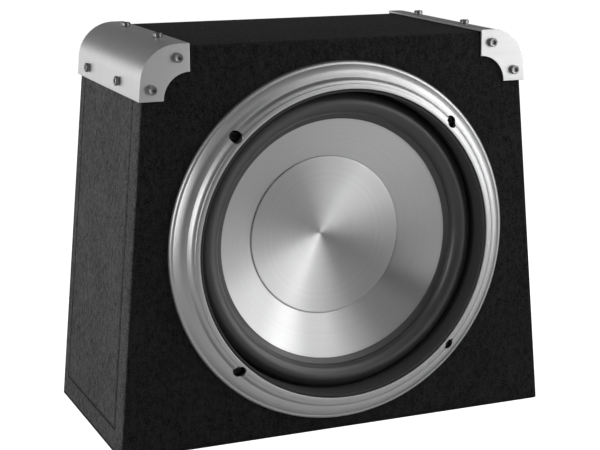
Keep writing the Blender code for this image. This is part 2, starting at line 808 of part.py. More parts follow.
def make_tinsel_leads():
    """Braided leads from the terminal strip, through a basket window, to the cone's back."""
    start_y = STRIP_FAR_Y - GAP
    window_r = SPIDER_RADIUS + 2 * WINDOW_MARGIN
    joint_r = TINSEL_JOINT_RADIUS
    for name, side in {"tinsel_lead_negative": -1, "tinsel_lead_positive": 1}.items():
        x = side * TINSEL_SPACING / 2
        route = [
            in_driver(x, start_y, STRIP_TOP - 0.004),
            in_driver(x, start_y - 0.008, STRIP_TOP - 0.003),
            in_driver(x, -window_r - 0.002, SPIDER_LEDGE - 0.006),
            in_driver(x, -window_r - 0.003, basket_wall(window_r) - 0.006),
            in_driver(x, -window_r + 0.005, basket_wall(window_r) + 0.004),
            in_driver(x * 0.9, -joint_r - 0.010, cone_face(joint_r) - 0.0068),
            in_driver(x * 0.8, -joint_r, cone_face(joint_r) - 0.0040),
        ]
        wire(name, route, TINSEL_DIAMETER, COPPER)


def make_driver():
    """The whole driver. Returns the cutters for the baffle: the cutout and the screw holes."""
    cutout = cylinder(
        "baffle_cutout",
        BASKET_RADIUS + CUTOUT_CLEARANCE,
        -2 * (BAFFLE + CARPET),
        2 * (BAFFLE + CARPET),
        parent=DRIVER_FRAME,
    )
    shank_holes, trim_holes = [], []
    outward = DRIVER_FRAME.matrix_world.to_3x3() @ Vector((0, 0, 1))
    for number in range(BOLT_COUNT):
        angle = 2 * math.pi * (number + 0.5) / BOLT_COUNT
        x, y = BOLT_CIRCLE_RADIUS * math.cos(angle), BOLT_CIRCLE_RADIUS * math.sin(angle)
        seat = in_driver(x, y, FLANGE_TOP)
        name = f"driver_screw_{number + 1}"
        shank_holes.append(place_screw(name, SOCKET_SCREW, seat, outward, SCREW_SHANK_RADIUS))
        trim_holes.append(
            cylinder(
                f"trim_hole_{number + 1}",
                TRIM_HOLE_RADIUS,
                FLANGE_TOP - GAP,
                FAR,
                parent=DRIVER_FRAME,
                segments=16,
                centre=(x, y),
            )
        )
    make_trim_ring(trim_holes)
    make_basket(shank_holes)
    gasket = turned(
        "mounting_gasket",
        [
            (FLANGE_RADIUS - 0.0005, FLANGE_TOP - SHEET_STEEL - GAP),
            (FLANGE_RADIUS - 0.0005, GAP),
            (BASKET_RADIUS + 2 * CUTOUT_CLEARANCE, GAP),
            (BASKET_RADIUS + 2 * CUTOUT_CLEARANCE, FLANGE_TOP - SHEET_STEEL - GAP),
        ],
        BLACK_RUBBER,
        DRIVER_FRAME,
    )
    cut(gasket, *shank_holes)
    ring_outer = BASKET_RADIUS - SHEET_STEEL - GAP
    ring_foot = LEDGE_TOP + SURROUND_THICKNESS + 2 * GAP
    turned(
        "gasket_ring",
        [
            (ring_outer, TRIM_HEIGHT - 0.0012),
            (ring_outer, ring_foot),
            (ring_outer - GASKET_RING_WIDTH, ring_foot),
            (ring_outer - GASKET_RING_WIDTH, TRIM_HEIGHT - 0.0012),
        ],
        BLACK_RUBBER,
        DRIVER_FRAME,
    )
    make_surround()
    make_moving_assembly()
    make_spider()
    make_motor()
    make_terminal_strip()
    make_tinsel_leads()
    return [cutout, *shank_holes]


# ---------------------------------------------------------------- terminal cup


def block(name, width, low_y, high_y, low_z, high_z, material=None, centre_x=0.0):
    """A box in the cup's frame, centred across."""
    low = (centre_x - width / 2, low_y, low_z)
    high = (centre_x + width / 2, high_y, high_z)
    return box(name, low, high, material, CUP_FRAME)


def cross_pin(name, radius, length, centre_x):
    """A cutter or a tool along the cup's X, on the levers' hinge line."""
    pin = cylinder(name, radius, -length / 2, length / 2, parent=CUP_FRAME, segments=12)
    pin.rotation_euler = (0, math.pi / 2, 0)
    pin.location = (centre_x, PIN_HEIGHT, -PIN_DEPTH)
    return pin


def make_lever(name, material, x):
    """A push lever with its own hinge pins and a finger pad at its foot."""
    width = POCKET[0] - 2 * LEVER_SIDE_CLEARANCE
    half = LEVER_THICKNESS / 2
    low = (-width / 2, LEVER_FOOT - PIN_HEIGHT, -half)
    high = (width / 2, half, half)
    lever = box(name, low, high, material, CUP_FRAME)
    lever.location = (x, PIN_HEIGHT, -PIN_DEPTH)
    pad = block(
        f"{name}_pad",
        width,
        LEVER_FOOT,
        LEVER_FOOT + 0.0045,
        -PIN_DEPTH,
        -PIN_DEPTH + half + 0.0032,
        centre_x=x,
    )
    pin = cross_pin(f"{name}_pin", PIN_RADIUS, POCKET[0] + 2 * PIN_REACH, x)
    boolean(lever, "UNION", pad, pin)


def make_contact(name, x):
    """A leaf spring behind a lever, with its solder tab behind the cup."""
    floor = -CUP_RECESS[2] - POCKET[2]
    lever_back = -PIN_DEPTH - LEVER_THICKNESS / 2
    line = [
        (-0.0020, -CUP_BODY[2] - TAB_LENGTH),
        (-0.0020, floor + 0.0012),
        (0.0045, floor + 0.0020),
        (0.0060, floor + 0.0034),
        (0.0030, floor + 0.0046),
        (-0.0040, lever_back - 0.0008),
    ]
    bm = bmesh.new()
    across = (x - CONTACT_WIDTH / 2, x + CONTACT_WIDTH / 2)
    rows = [[bm.verts.new((at, y, z)) for at in across] for y, z in line]
    for (a, b), (c, d) in zip(rows, rows[1:]):
        bm.faces.new((a, b, d, c))
    leaf = add_object(name, mesh_from(bm, name), COPPER, CUP_FRAME)
    solidify = leaf.modifiers.new("thickness", "SOLIDIFY")
    solidify.thickness = CONTACT_THICKNESS
    solidify.offset = 0


def make_terminal_cup():
    """The cup, its levers, contacts and screws. Returns the cutters for the back."""
    recess_floor = -CUP_RECESS[2]
    pocket_floor = recess_floor - POCKET[2]
    cup = block(
        "terminal_cup",
        CUP_FLANGE[0],
        -CUP_FLANGE[1] / 2,
        CUP_FLANGE[1] / 2,
        GAP,
        GAP + CUP_FLANGE[2],
        BLACK_PLASTIC,
    )
    body = block(
        "cup_body",
        CUP_BODY[0],
        -CUP_BODY[1] / 2,
        CUP_BODY[1] / 2,
        -CUP_BODY[2],
        GAP + CUP_FLANGE[2] / 2,
    )
    boolean(cup, "UNION", body)
    recess = block(
        "cup_recess", CUP_RECESS[0], -CUP_RECESS[1] / 2, CUP_RECESS[1] / 2, recess_floor, FAR
    )
    cut(cup, recess)
    for name, material, side in (("red_lever", RED_PLASTIC, 1), ("black_lever", BLACK_PLASTIC, -1)):
        x = side * LEVER_SPACING / 2
        pocket = block(
            f"{name}_pocket",
            POCKET[0],
            POCKET_FOOT,
            POCKET_FOOT + POCKET[1],
            pocket_floor,
            0,
            centre_x=x,
        )
        slot = block(
            f"{name}_slot",
            CONTACT_WIDTH + 2 * GAP,
            -0.0020 - CONTACT_THICKNESS / 2 - GAP,
            -0.0020 + CONTACT_THICKNESS / 2 + GAP,
            -FAR,
            pocket_floor + 0.001,
            centre_x=x,
        )
        hinge = cross_pin(
            f"{name}_hinge", PIN_RADIUS + PIN_CLEARANCE, POCKET[0] + 2 * PIN_REACH + 2 * GAP, x
        )
        wire_hole = cylinder(
            f"{name}_wire_hole",
            WIRE_HOLE_RADIUS,
            pocket_floor,
            0,
            parent=CUP_FRAME,
            segments=12,
            centre=(x, POCKET_FOOT - WIRE_HOLE_RADIUS - 0.0011),
        )
        cut(cup, pocket, slot, hinge, wire_hole)
        make_lever(name, material, x)
        make_contact(name.replace("lever", "contact"), x)
    opening = block(
        "cup_opening",
        CUP_BODY[0] + 2 * GAP,
        -CUP_BODY[1] / 2 - GAP,
        CUP_BODY[1] / 2 + GAP,
        -FAR / 8,
        FAR / 8,
    )
    holes = []
    for number in range(4):
        across, up = (-1 if number % 2 else 1), (-1 if number // 2 else 1)
        seat = in_cup(
            across * CUP_SCREW_SPACING[0] / 2, up * CUP_SCREW_SPACING[1] / 2, GAP + CUP_FLANGE[2]
        )
        name = f"terminal_screw_{number + 1}"
        holes.append(place_screw(name, PAN_SCREW, seat, (0, 1, 0), CUP_SCREW_SHANK_RADIUS))
    cut(cup, *holes)
    return [opening, *holes]


# ---------------------------------------------------------------- wood, carpet and leads


def make_cabinet(baffle_cutters, back_cutters, cover_holes):
    def holes_of(place, side=None):
        return [hole for at, on, hole in cover_holes if at == place and side in (None, on)]

    baffle_back = WOOD + BAFFLE
    inside_front, inside_back = front_at(baffle_back + GAP), back_at(WOOD + BOARD + GAP)
    outline = cabinet_outline(WOOD, WOOD)
    baffle = prism("front_baffle", outline, front_at(WOOD), front_at(baffle_back), FIBREBOARD)
    cut(baffle, *baffle_cutters, *holes_of("face"))
    rear = prism("rear_panel", outline, back_at(WOOD + BOARD), back_at(WOOD), FIBREBOARD)
    cut(rear, *back_cutters, *holes_of("back"))
    envelope = prism("wood_envelope", outline, flat_at(-FAR), flat_at(FAR))
    inner = WOOD + BOARD + GAP
    for name, low, high in (
        ("bottom_panel", 0, WOOD + BOARD),
        ("top_panel", HEIGHT - WOOD - BOARD, HEIGHT + BOARD),
    ):
        region = [
            (-side_x(low, inner), low),
            (side_x(low, inner), low),
            (side_x(high, inner), high),
            (-side_x(high, inner), high),
        ]
        panel = prism(name, region, inside_front, inside_back, FIBREBOARD)
        keep_inside(panel, envelope)
        if name == "top_panel":
            cut(panel, *holes_of("top"))
    for name, side in COVER_SIDES.items():
        region = side_strip(side, -BOARD, WOOD + BOARD, 0, HEIGHT + BOARD)
        panel = prism(f"{name}_side_panel", region, inside_front, inside_back, FIBREBOARD)
        keep_inside(panel, envelope)
        cut(panel, *holes_of("side", side), *holes_of("top", side))
    make_carpet(baffle_cutters, back_cutters, cover_holes)


def make_carpet(baffle_cutters, back_cutters, cover_holes):
    """A sheet wrapped round front, top and back and onto the sides, one on each side, one below."""
    wrap = prism(
        "carpet_wrap", cabinet_outline(0, CARPET + GAP), front_at(0), back_at(0), BLACK_CARPET
    )
    hollow = prism(
        "carpet_hollow", cabinet_outline(CARPET, -FAR), front_at(CARPET), back_at(CARPET)
    )
    cut(wrap, hollow)
    sheet_top = COVER_FOOT + 0.004
    for name, side in COVER_SIDES.items():
        window = prism(
            f"{name}_carpet_window",
            side_strip(side, -CARPET, 2 * CARPET, BORDER_FOOT, sheet_top),
            front_at(BORDER_FRONT),
            back_at(BORDER_BACK),
        )
        cut(wrap, window)
        prism(
            f"carpet_{name}",
            side_strip(side, 0, CARPET, BORDER_FOOT + SEAM, sheet_top - SEAM),
            front_at(BORDER_FRONT + SEAM),
            back_at(BORDER_BACK + SEAM),
            BLACK_CARPET,
        )
    cut(wrap, *baffle_cutters, *back_cutters, *(hole for _, _, hole in cover_holes))
    prism("carpet_bottom", side_strip_base(), front_at(0), back_at(0), BLACK_CARPET)


def side_strip_base():
    """The base sheet's section: the cabinet's foot, one carpet thick."""
    return [
        (-side_x(0, 0), 0),
        (side_x(0, 0), 0),
        (side_x(CARPET, 0), CARPET),
        (-side_x(CARPET, 0), CARPET),
    ]


def make_inner_leads():
    """Leads from the cup's contacts, under the magnet, to the driver's terminal strip."""
    tab_y = STRIP_FAR_Y - TAB_LENGTH - GAP
    low_y = -MAGNET_RADIUS - 0.012
    for name, material, side in (
        ("inner_lead_positive", RED_PLASTIC, 1),
        ("inner_lead_negative", BLACK_PLASTIC, -1),
    ):
        cup_x = side * LEVER_SPACING / 2
        strip_x = -side * TINSEL_SPACING / 2
        cup_end = -CUP_BODY[2] - TAB_LENGTH - GAP
        route = [
            in_cup(cup_x, -0.0020, cup_end),
            in_cup(cup_x, -0.0025, cup_end - 0.008),
            in_cup(cup_x, -0.0120, cup_end - 0.020),
            in_driver(strip_x, low_y - 0.004, TAB_LEVEL - 0.036),
            in_driver(strip_x, low_y - 0.001, TAB_LEVEL - 0.010),
            in_driver(strip_x, tab_y - 0.004, TAB_LEVEL - 0.001),
            in_driver(strip_x, tab_y, TAB_LEVEL),
        ]
        wire(name, route, LEAD_DIAMETER, material)


COVER_HOLES = make_covers()
make_cabinet(make_driver(), make_terminal_cup(), COVER_HOLES)
make_inner_leads()
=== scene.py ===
"""Looks for a carpeted subwoofer cabinet with a metal-coned woofer, two metal corner covers
and a terminal cup behind. +Z is up, the front faces -Y and leans back, and sizes are in metres,
apart from the screws' shapes and what is turned about the woofer's axis, which are in millimetres.
"""

import json
import math

import bmesh
import bpy
from mathutils import Matrix, Vector


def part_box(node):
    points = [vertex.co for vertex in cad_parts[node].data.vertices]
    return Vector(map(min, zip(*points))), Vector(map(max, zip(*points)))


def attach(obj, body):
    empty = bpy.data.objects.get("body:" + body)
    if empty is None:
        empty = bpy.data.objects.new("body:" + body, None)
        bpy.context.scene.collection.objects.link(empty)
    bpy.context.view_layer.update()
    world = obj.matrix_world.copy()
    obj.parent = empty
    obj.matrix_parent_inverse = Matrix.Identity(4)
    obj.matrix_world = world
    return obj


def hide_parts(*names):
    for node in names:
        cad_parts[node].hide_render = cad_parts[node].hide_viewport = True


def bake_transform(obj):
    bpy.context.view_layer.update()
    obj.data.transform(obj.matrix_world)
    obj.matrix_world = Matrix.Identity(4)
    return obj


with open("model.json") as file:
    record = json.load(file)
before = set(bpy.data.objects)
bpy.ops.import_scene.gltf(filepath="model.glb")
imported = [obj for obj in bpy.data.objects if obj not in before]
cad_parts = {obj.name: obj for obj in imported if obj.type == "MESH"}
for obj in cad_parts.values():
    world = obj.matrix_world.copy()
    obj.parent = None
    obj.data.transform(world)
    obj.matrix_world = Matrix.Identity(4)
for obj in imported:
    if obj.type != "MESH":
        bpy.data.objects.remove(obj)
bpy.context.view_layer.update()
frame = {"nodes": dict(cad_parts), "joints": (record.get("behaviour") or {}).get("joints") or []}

MM = 0.001
SCENE = bpy.context.scene
NODES = frame["nodes"]
JOINTS = {joint["name"]: joint for joint in frame["joints"]}

# The cabinet: how far each side leans in for each metre of height, and its two rounded top edges
SIDE_SLOPE = 0.0315 / 0.3605
SIDE_STRETCH = math.hypot(1, SIDE_SLOPE)
SIDE_TILT = math.atan(SIDE_SLOPE)
CORNER_RADIUS = 32 * MM
SIDES = ((-1, "left"), (1, "right"))

# The woofer's own frame: its origin where the gasket meets the front, its Z along the cone's travel
AXIS = Vector(JOINTS["cone_travel"]["axis"])
GASKET_THICKNESS = 1.6 * MM
gasket_low, gasket_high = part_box("mounting_gasket")
WOOFER_FACE = (gasket_low + gasket_high) / 2 - GASKET_THICKNESS / 2 * AXIS
ACROSS = Vector((1, 0, 0))
WOOFER = Matrix.Translation(WOOFER_FACE) @ Matrix((ACROSS, AXIS.cross(ACROSS), AXIS)).transposed().to_4x4()
OUT_OF_FRONT = AXIS.normalized()
OUT_OF_BACK = Vector((0, 1, 0))
FRONT_SLOPE = -AXIS.z / AXIS.y


def middle(node):
    low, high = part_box(node)
    return (low + high) / 2


# ---------------------------------------------------------------- building materials


def add_node(tree, kind, inputs=None, **settings):
    node = tree.nodes.new(kind)
    for key, value in settings.items():
        setattr(node, key, value)
    for key, value in (inputs or {}).items():
        if isinstance(value, bpy.types.NodeSocket):
            tree.links.new(value, node.inputs[key])
        else:
            node.inputs[key].default_value = value
    return node


def math_node(tree, operation, first, second=0.0, clamp=False):
    node = add_node(tree, "ShaderNodeMath", {0: first, 1: second}, operation=operation, use_clamp=clamp)
    return node.outputs[0]


def blend_of(tree, first, second, share):
    """A share of the first value and the rest of the second."""
    part = math_node(tree, "MULTIPLY", first, share)
    return math_node(tree, "ADD", part, math_node(tree, "MULTIPLY", second, 1.0 - share))


def mix_colour(tree, factor, first, second):
    node = add_node(tree, "ShaderNodeMix", data_type="RGBA")
    for number, value in ((0, factor), (6, first), (7, second)):
        if isinstance(value, bpy.types.NodeSocket):
            tree.links.new(value, node.inputs[number])
        else:
            node.inputs[number].default_value = value if number == 0 else (*value, 1)
    return node.outputs[2]


def remap(tree, value, low, high, to_low=0.0, to_high=1.0, smooth=False):
    node = add_node(
        tree,
        "ShaderNodeMapRange",
        {"Value": value, "From Min": low, "From Max": high, "To Min": to_low, "To Max": to_high},
        interpolation_type="SMOOTHSTEP" if smooth else "LINEAR",
    )
    return node.outputs[0]


def new_group(name, inputs, outputs):
    """An empty shader group with its sockets, each given as name: default."""
    group = bpy.data.node_groups.new(name, "ShaderNodeTree")
    for socket, default in inputs.items():
        kind = "NodeSocketVector" if default is None else "NodeSocketFloat"
        made = group.interface.new_socket(name=socket, in_out="INPUT", socket_type=kind)
        if default is not None:
            made.default_value = default
    for socket in outputs:
        group.interface.new_socket(name=socket, in_out="OUTPUT", socket_type="NodeSocketFloat")
    given = group.nodes.new("NodeGroupInput")
    result = group.nodes.new("NodeGroupOutput")
    return group, given.outputs, result.inputs


def pile_group():
    """Carpet pile: single fibres, tufts drawn out along the sheet, and a slow unevenness."""
    tree, given, result = new_group(
        "carpet_pile", {"Vector": None, "Fibre size": 1.0, "Tuft size": 3.0}, ("Fibre", "Tuft", "Height")
    )
    fibre_scale = math_node(tree, "DIVIDE", 1000.0, given["Fibre size"])
    tuft_scale = math_node(tree, "DIVIDE", 1000.0, given["Tuft size"])
    drawn = add_node(tree, "ShaderNodeMapping", {"Vector": given["Vector"], "Scale": (1, 1, 0.55)})
    fibre = add_node(
        tree,
        "ShaderNodeTexNoise",
        {"Vector": given["Vector"], "Scale": fibre_scale, "Detail": 4, "Roughness": 0.75, "Distortion": 0.6},
    )
    tuft = add_node(
        tree,
        "ShaderNodeTexNoise",
        {"Vector": drawn.outputs[0], "Scale": tuft_scale, "Detail": 2, "Roughness": 0.6},
    )
    slow = add_node(tree, "ShaderNodeTexNoise", {"Vector": given["Vector"], "Scale": 22, "Detail": 3})
    tree.links.new(remap(tree, fibre.outputs["Fac"], 0.32, 0.70), result["Fibre"])
    tufts = blend_of(tree, tuft.outputs["Fac"], slow.outputs["Fac"], 0.8)
    tree.links.new(remap(tree, tufts, 0.36, 0.64), result["Tuft"])
    tree.links.new(blend_of(tree, fibre.outputs["Fac"], tuft.outputs["Fac"], 0.6), result["Height"])
    return tree


def lines_group():
    """Fine parallel tool marks or brushing, read along a length in metres, their pitch in millimetres."""
    tree, given, result = new_group("tool_marks", {"Across": 0.0, "Pitch": 0.4}, ("Marks", "Height"))
    scale = math_node(tree, "DIVIDE", 1000.0, given["Pitch"])
    fine = add_node(
        tree,
        "ShaderNodeTexNoise",
        {"W": given["Across"], "Scale": scale, "Detail": 3, "Roughness": 0.7},
        noise_dimensions="1D",
    )
    broad = add_node(
        tree,
        "ShaderNodeTexNoise",
        {"W": given["Across"], "Scale": math_node(tree, "MULTIPLY", scale, 0.11), "Detail": 2},
        noise_dimensions="1D",
    )
    marks = blend_of(tree, fine.outputs["Fac"], broad.outputs["Fac"], 0.65)
    tree.links.new(remap(tree, marks, 0.3, 0.7), result["Marks"])
    tree.links.new(fine.outputs["Fac"], result["Height"])
    return tree


def grain_group():
    """A fine even grain, and slow stains or handling marks over it."""
    tree, given, result = new_group(
        "fine_grain", {"Vector": None, "Grain size": 0.5, "Stain size": 20.0}, ("Grain", "Stain")
    )
    for socket, detail, roughness in (("Grain", 3, 0.65), ("Stain", 5, 0.6)):
        scale = math_node(tree, "DIVIDE", 1000.0, given[f"{socket} size"])
        noise = add_node(
            tree,
            "ShaderNodeTexNoise",
            {"Vector": given["Vector"], "Scale": scale, "Detail": detail, "Roughness": roughness},
        )
        tree.links.new(remap(tree, noise.outputs["Fac"], 0.3, 0.7), result[socket])
    return tree


PILE = pile_group()
TOOL_MARKS = lines_group()
GRAIN = grain_group()


class Finish:
    """One material: its tree, its Principled shader and the object's own coordinates."""

    def __init__(self, name, **constants):
        self.material = bpy.data.materials.new(name)
        self.material.use_nodes = True
        self.tree = self.material.node_tree
        self.shader = self.tree.nodes["Principled BSDF"]
        for key, value in constants.items():
            socket = self.shader.inputs[key.replace("_", " ")]
            socket.default_value = (*value, 1) if isinstance(value, tuple) and len(value) == 3 else value
        own = add_node(self.tree, "ShaderNodeTexCoord").outputs
        self.place, self.facing = own["Object"], own["Normal"]

    def group(self, group, **inputs):
        made = add_node(self.tree, "ShaderNodeGroup", node_tree=group)
        for key, value in inputs.items():
            socket = made.inputs[key.replace("_", " ")]
            if isinstance(value, bpy.types.NodeSocket):
                self.tree.links.new(value, socket)
            else:
                socket.default_value = value
        return made.outputs

    def feed(self, socket, value):
        self.tree.links.new(value, self.shader.inputs[socket])

    def comb(self, uv_map):
        """Draw the highlight out along a UV map's first direction."""
        tangent = add_node(self.tree, "ShaderNodeTangent", direction_type="UV_MAP", uv_map=uv_map)
        self.feed("Tangent", tangent.outputs[0])

    def bump(self, height, strength, distance, under=None):
        given = {"Height": height, "Strength": strength, "Distance": distance}
        made = add_node(self.tree, "ShaderNodeBump", given)
        if under is not None:
            self.tree.links.new(under, made.inputs["Normal"])
        return made.outputs[0]


def carpet_finish():
    """Black felt, dark on the front and back, with painted light giving the sides and a little of the top a
    lighter, greyer copy, and painted shade along the side sheets' lower and rear seams.
    """
    finish = Finish(
        "black_needled_carpet", Roughness=1.0, Specular_IOR_Level=0.05,
        Sheen_Weight=0.03, Sheen_Roughness=0.4, Sheen_Tint=(0.9, 0.9, 0.92),
    )
    pile = finish.group(PILE, Vector=finish.place, Fibre_size=1.1, Tuft_size=3.2)
    tree = finish.tree
    facing = add_node(tree, "ShaderNodeSeparateXYZ", {"Vector": finish.facing})
    # Painted light: a mask of the side-facing faces, and a little of the top, which get the lit copy of the
    # carpet
    on_sides = remap(tree, math_node(tree, "ABSOLUTE", facing.outputs["X"]), 0.55, 0.9, smooth=True)
    on_top = remap(tree, facing.outputs["Z"], 0.5, 1.0, 0.0, 0.12)
    painted_side_light = math_node(tree, "MAXIMUM", on_sides, on_top)
    worn = mix_colour(tree, pile["Tuft"], (0.0050, 0.0050, 0.0052), (0.0190, 0.0190, 0.0194))
    fibre = remap(tree, pile["Fibre"], 0.35, 1.0, 0.0, 0.8)
    front_and_back_tone = mix_colour(tree, fibre, worn, (0.050, 0.050, 0.051))
    # Painted light: the lighter, greyer copy of the carpet that the sides get
    painted_lit_side_tufts = mix_colour(tree, pile["Tuft"], (0.026, 0.026, 0.0265), (0.105, 0.105, 0.107))
    painted_lit_side = mix_colour(tree, fibre, painted_lit_side_tufts, (0.240, 0.240, 0.245))
    # Painted shade: the side sheets are darkened along their lower and rear seams by their own attribute
    painted_seam_shade = add_node(tree, "ShaderNodeAttribute", attribute_name="painted_seam_shade").outputs["Fac"]
    painted_light_clear_of_seams = math_node(tree, "SUBTRACT", painted_side_light, math_node(tree, "MULTIPLY", painted_seam_shade, 0.5), clamp=True)
    finish.feed("Base Color", mix_colour(tree, painted_light_clear_of_seams, front_and_back_tone, painted_lit_side))
    finish.feed("Normal", finish.bump(pile["Height"], 0.9, 0.7 * MM))
    return finish.material


def turned_finish(name, colour, roughness, pitch, anisotropy, relief):
    """Metal turned on a lathe: marks run round the axis, so they are read along the radius."""
    finish = Finish(name, Metallic=1.0, Anisotropic=anisotropy)
    tree = finish.tree
    lathe = add_node(tree, "ShaderNodeUVMap", uv_map="lathe")
    across = add_node(tree, "ShaderNodeSeparateXYZ", {0: lathe.outputs[0]})
    marks = finish.group(TOOL_MARKS, Across=across.outputs[0], Pitch=pitch)
    grain = finish.group(GRAIN, Vector=finish.place, Grain_size=0.6, Stain_size=35.0)
    low = tuple(0.93 * part for part in colour)
    finish.feed("Base Color", mix_colour(tree, marks["Marks"], low, colour))
    rough = remap(tree, marks["Marks"], 0.0, 1.0, roughness + 0.03, roughness - 0.03)
    rough = math_node(tree, "ADD", rough, remap(tree, grain["Stain"], 0.0, 1.0, -0.015, 0.015))
    finish.feed("Roughness", rough)
    finish.feed("Normal", finish.bump(marks["Height"], relief, 0.05 * MM))
    finish.comb("lathe")
    return finish.material


def brushed_finish():
    """Cover sheet, brushed round the bend: lines are read along the cabinet's depth."""
    finish = Finish("brushed_aluminium_sheet", Metallic=1.0, Anisotropic=0.2)
    tree = finish.tree
    across = add_node(tree, "ShaderNodeSeparateXYZ", {0: finish.place})
    marks = finish.group(TOOL_MARKS, Across=across.outputs[1], Pitch=0.9)
    grain = finish.group(GRAIN, Vector=finish.place, Grain_size=0.35, Stain_size=28.0)
    finish.feed("Base Color", mix_colour(tree, marks["Marks"], (0.64, 0.64, 0.645), (0.72, 0.72, 0.725)))
    rough = remap(tree, marks["Marks"], 0.0, 1.0, 0.44, 0.39)
    handled = remap(tree, grain["Stain"], 0.0, 1.0, -0.02, 0.02)
    finish.feed("Roughness", math_node(tree, "ADD", rough, handled))
    under = finish.bump(grain["Grain"], 0.05, 0.03 * MM)
    finish.feed("Normal", finish.bump(marks["Height"], 0.10, 0.05 * MM, under))
    finish.comb("bend")
    return finish.material


def grained_finish(name, dark, light, rough, metallic, grain, stain, relief, **constants):
    """A moulded, painted, plated or pressed surface: grain in its relief, stains in its tone."""
    finish = Finish(name, Metallic=metallic, **constants)
    made = finish.group(GRAIN, Vector=finish.place, Grain_size=grain, Stain_size=stain)
    tree = finish.tree
    tone = blend_of(tree, made["Grain"], made["Stain"], 0.5)
    finish.feed("Base Color", mix_colour(tree, tone, dark, light))
    finish.feed("Roughness", remap(tree, made["Stain"], 0.0, 1.0, rough[0], rough[1]))
    finish.feed("Normal", finish.bump(made["Grain"], relief, 0.08 * MM))
    return finish.material


def cloth_finish():
    """The spider's cotton: a plain weave in two crossing sets of threads, stiffened with resin."""
    finish = Finish("resin_cotton", Sheen_Weight=0.2)
    tree = finish.tree
    split = add_node(tree, "ShaderNodeSeparateXYZ", {0: finish.place})
    radians_per_metre = 9000.0  # a thread every 0.7 mm
    threads = []
    for direction in ("X", "Z"):
        along = math_node(tree, "MULTIPLY", split.outputs[direction], radians_per_metre)
        threads.append(remap(tree, math_node(tree, "SINE", along), -1.0, 1.0))
    weave = math_node(tree, "MAXIMUM", *threads)
    grain = finish.group(GRAIN, Vector=finish.place, Grain_size=0.4, Stain_size=12.0)
    tone = mix_colour(tree, weave, (0.33, 0.22, 0.07), (0.60, 0.45, 0.20))
    finish.feed("Base Color", mix_colour(tree, grain["Stain"], tone, (0.45, 0.32, 0.12)))
    finish.feed("Roughness", remap(tree, weave, 0.0, 1.0, 0.9, 0.65))
    finish.feed("Normal", finish.bump(weave, 0.5, 0.15 * MM))
    return finish.material


CARPET = carpet_finish()
COVER_METAL = brushed_finish()
SPIDER_CLOTH = cloth_finish()

# Name, colour, roughness, pitch of the marks, anisotropy, relief
CONE_METAL = turned_finish("turned_cone_aluminium", (0.85, 0.85, 0.855), 0.44, 0.35, 0.93, 0.05)
TRIM_METAL = turned_finish("satin_trim_metal", (0.65, 0.65, 0.655), 0.42, 0.7, 0.30, 0.02)

# Name, darkest and lightest colour, least and most roughness, metallic, grain and stain sizes, relief
SCREW_METAL = grained_finish(
    "plated_screw", (0.26, 0.26, 0.265), (0.38, 0.38, 0.385), (0.26, 0.38), 1.0, 0.3, 4.0, 0.10
)
DARK_SCREW_METAL = grained_finish(
    "blackened_screw", (0.030, 0.030, 0.032), (0.055, 0.055, 0.058), (0.30, 0.42), 0.8, 0.3, 4.0, 0.10
)
RUBBER = grained_finish(
    "butyl_rubber", (0.034, 0.034, 0.035), (0.047, 0.047, 0.048), (0.34, 0.42), 0.0, 0.35, 14.0, 0.20,
    Specular_IOR_Level=1.0,
)
FOAM = grained_finish(
    "foam_gasket", (0.035, 0.035, 0.035), (0.060, 0.060, 0.060), (0.8, 0.95), 0.0, 0.7, 9.0, 0.8
)
BLACK_PAINT = grained_finish(
    "black_powder_coat", (0.012, 0.012, 0.013), (0.024, 0.024, 0.025), (0.38, 0.5), 0.0, 0.6, 25.0, 0.3
)
BLACK_PLASTIC = grained_finish(
    "moulded_black_plastic", (0.010, 0.010, 0.011), (0.020, 0.020, 0.021), (0.36, 0.48), 0.0, 0.5, 18.0, 0.3
)
RED_PLASTIC = grained_finish(
    "moulded_red_plastic", (0.42, 0.012, 0.010), (0.55, 0.024, 0.018), (0.25, 0.36), 0.0, 0.5, 10.0, 0.12
)
ZINC = grained_finish(
    "zinc_plated_steel", (0.50, 0.50, 0.46), (0.66, 0.64, 0.58), (0.28, 0.42), 1.0, 0.5, 9.0, 0.15
)
FERRITE = grained_finish(
    "sintered_ferrite", (0.035, 0.035, 0.038), (0.07, 0.07, 0.075), (0.5, 0.7), 0.0, 0.9, 15.0, 0.5
)
COPPER = grained_finish(
    "bare_copper", (0.60, 0.24, 0.11), (0.78, 0.36, 0.18), (0.25, 0.4), 1.0, 0.3, 5.0, 0.3
)
FORMER_FILM = grained_finish(
    "former_film", (0.09, 0.08, 0.07), (0.14, 0.13, 0.12), (0.3, 0.45), 0.0, 0.4, 8.0, 0.1
)
FIBREBOARD = grained_finish(
    "fibreboard", (0.34, 0.23, 0.13), (0.50, 0.37, 0.24), (0.8, 0.95), 0.0, 0.9, 12.0, 0.5
)

# ---------------------------------------------------------------- making pieces

FULL_TURN = 2 * math.pi


def smooth_up_to(mesh, angle):
    """Shade a mesh smooth, apart from its edges that turn by more than an angle in degrees."""
    mesh.polygons.foreach_set("use_smooth", [True] * len(mesh.polygons))
    mesh.set_sharp_from_angle(angle=math.radians(angle))


def make_piece(name, bm, material, body, nodes=(), sharp=35):
    """Turn a bmesh into a finished piece that rides on a body and stands for CAD nodes."""
    mesh = bpy.data.meshes.new(name)
    bm.to_mesh(mesh)
    bm.free()
    smooth_up_to(mesh, sharp)
    mesh.materials.append(material)
    piece = bpy.data.objects.new(name, mesh)
    SCENE.collection.objects.link(piece)
    if body:
        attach(piece, body)
    if nodes:
        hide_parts(*nodes)
    return piece


def add_bevel(piece, width, segments, angle):
    """Round a piece's edges that turn by more than an angle in degrees."""
    bevel = piece.modifiers.new("rounded edges", "BEVEL")
    bevel.width = width
    bevel.segments = segments
    bevel.limit_method = "ANGLE"
    bevel.angle_limit = math.radians(angle)
    bevel.harden_normals = True
    bevel.use_clamp_overlap = True


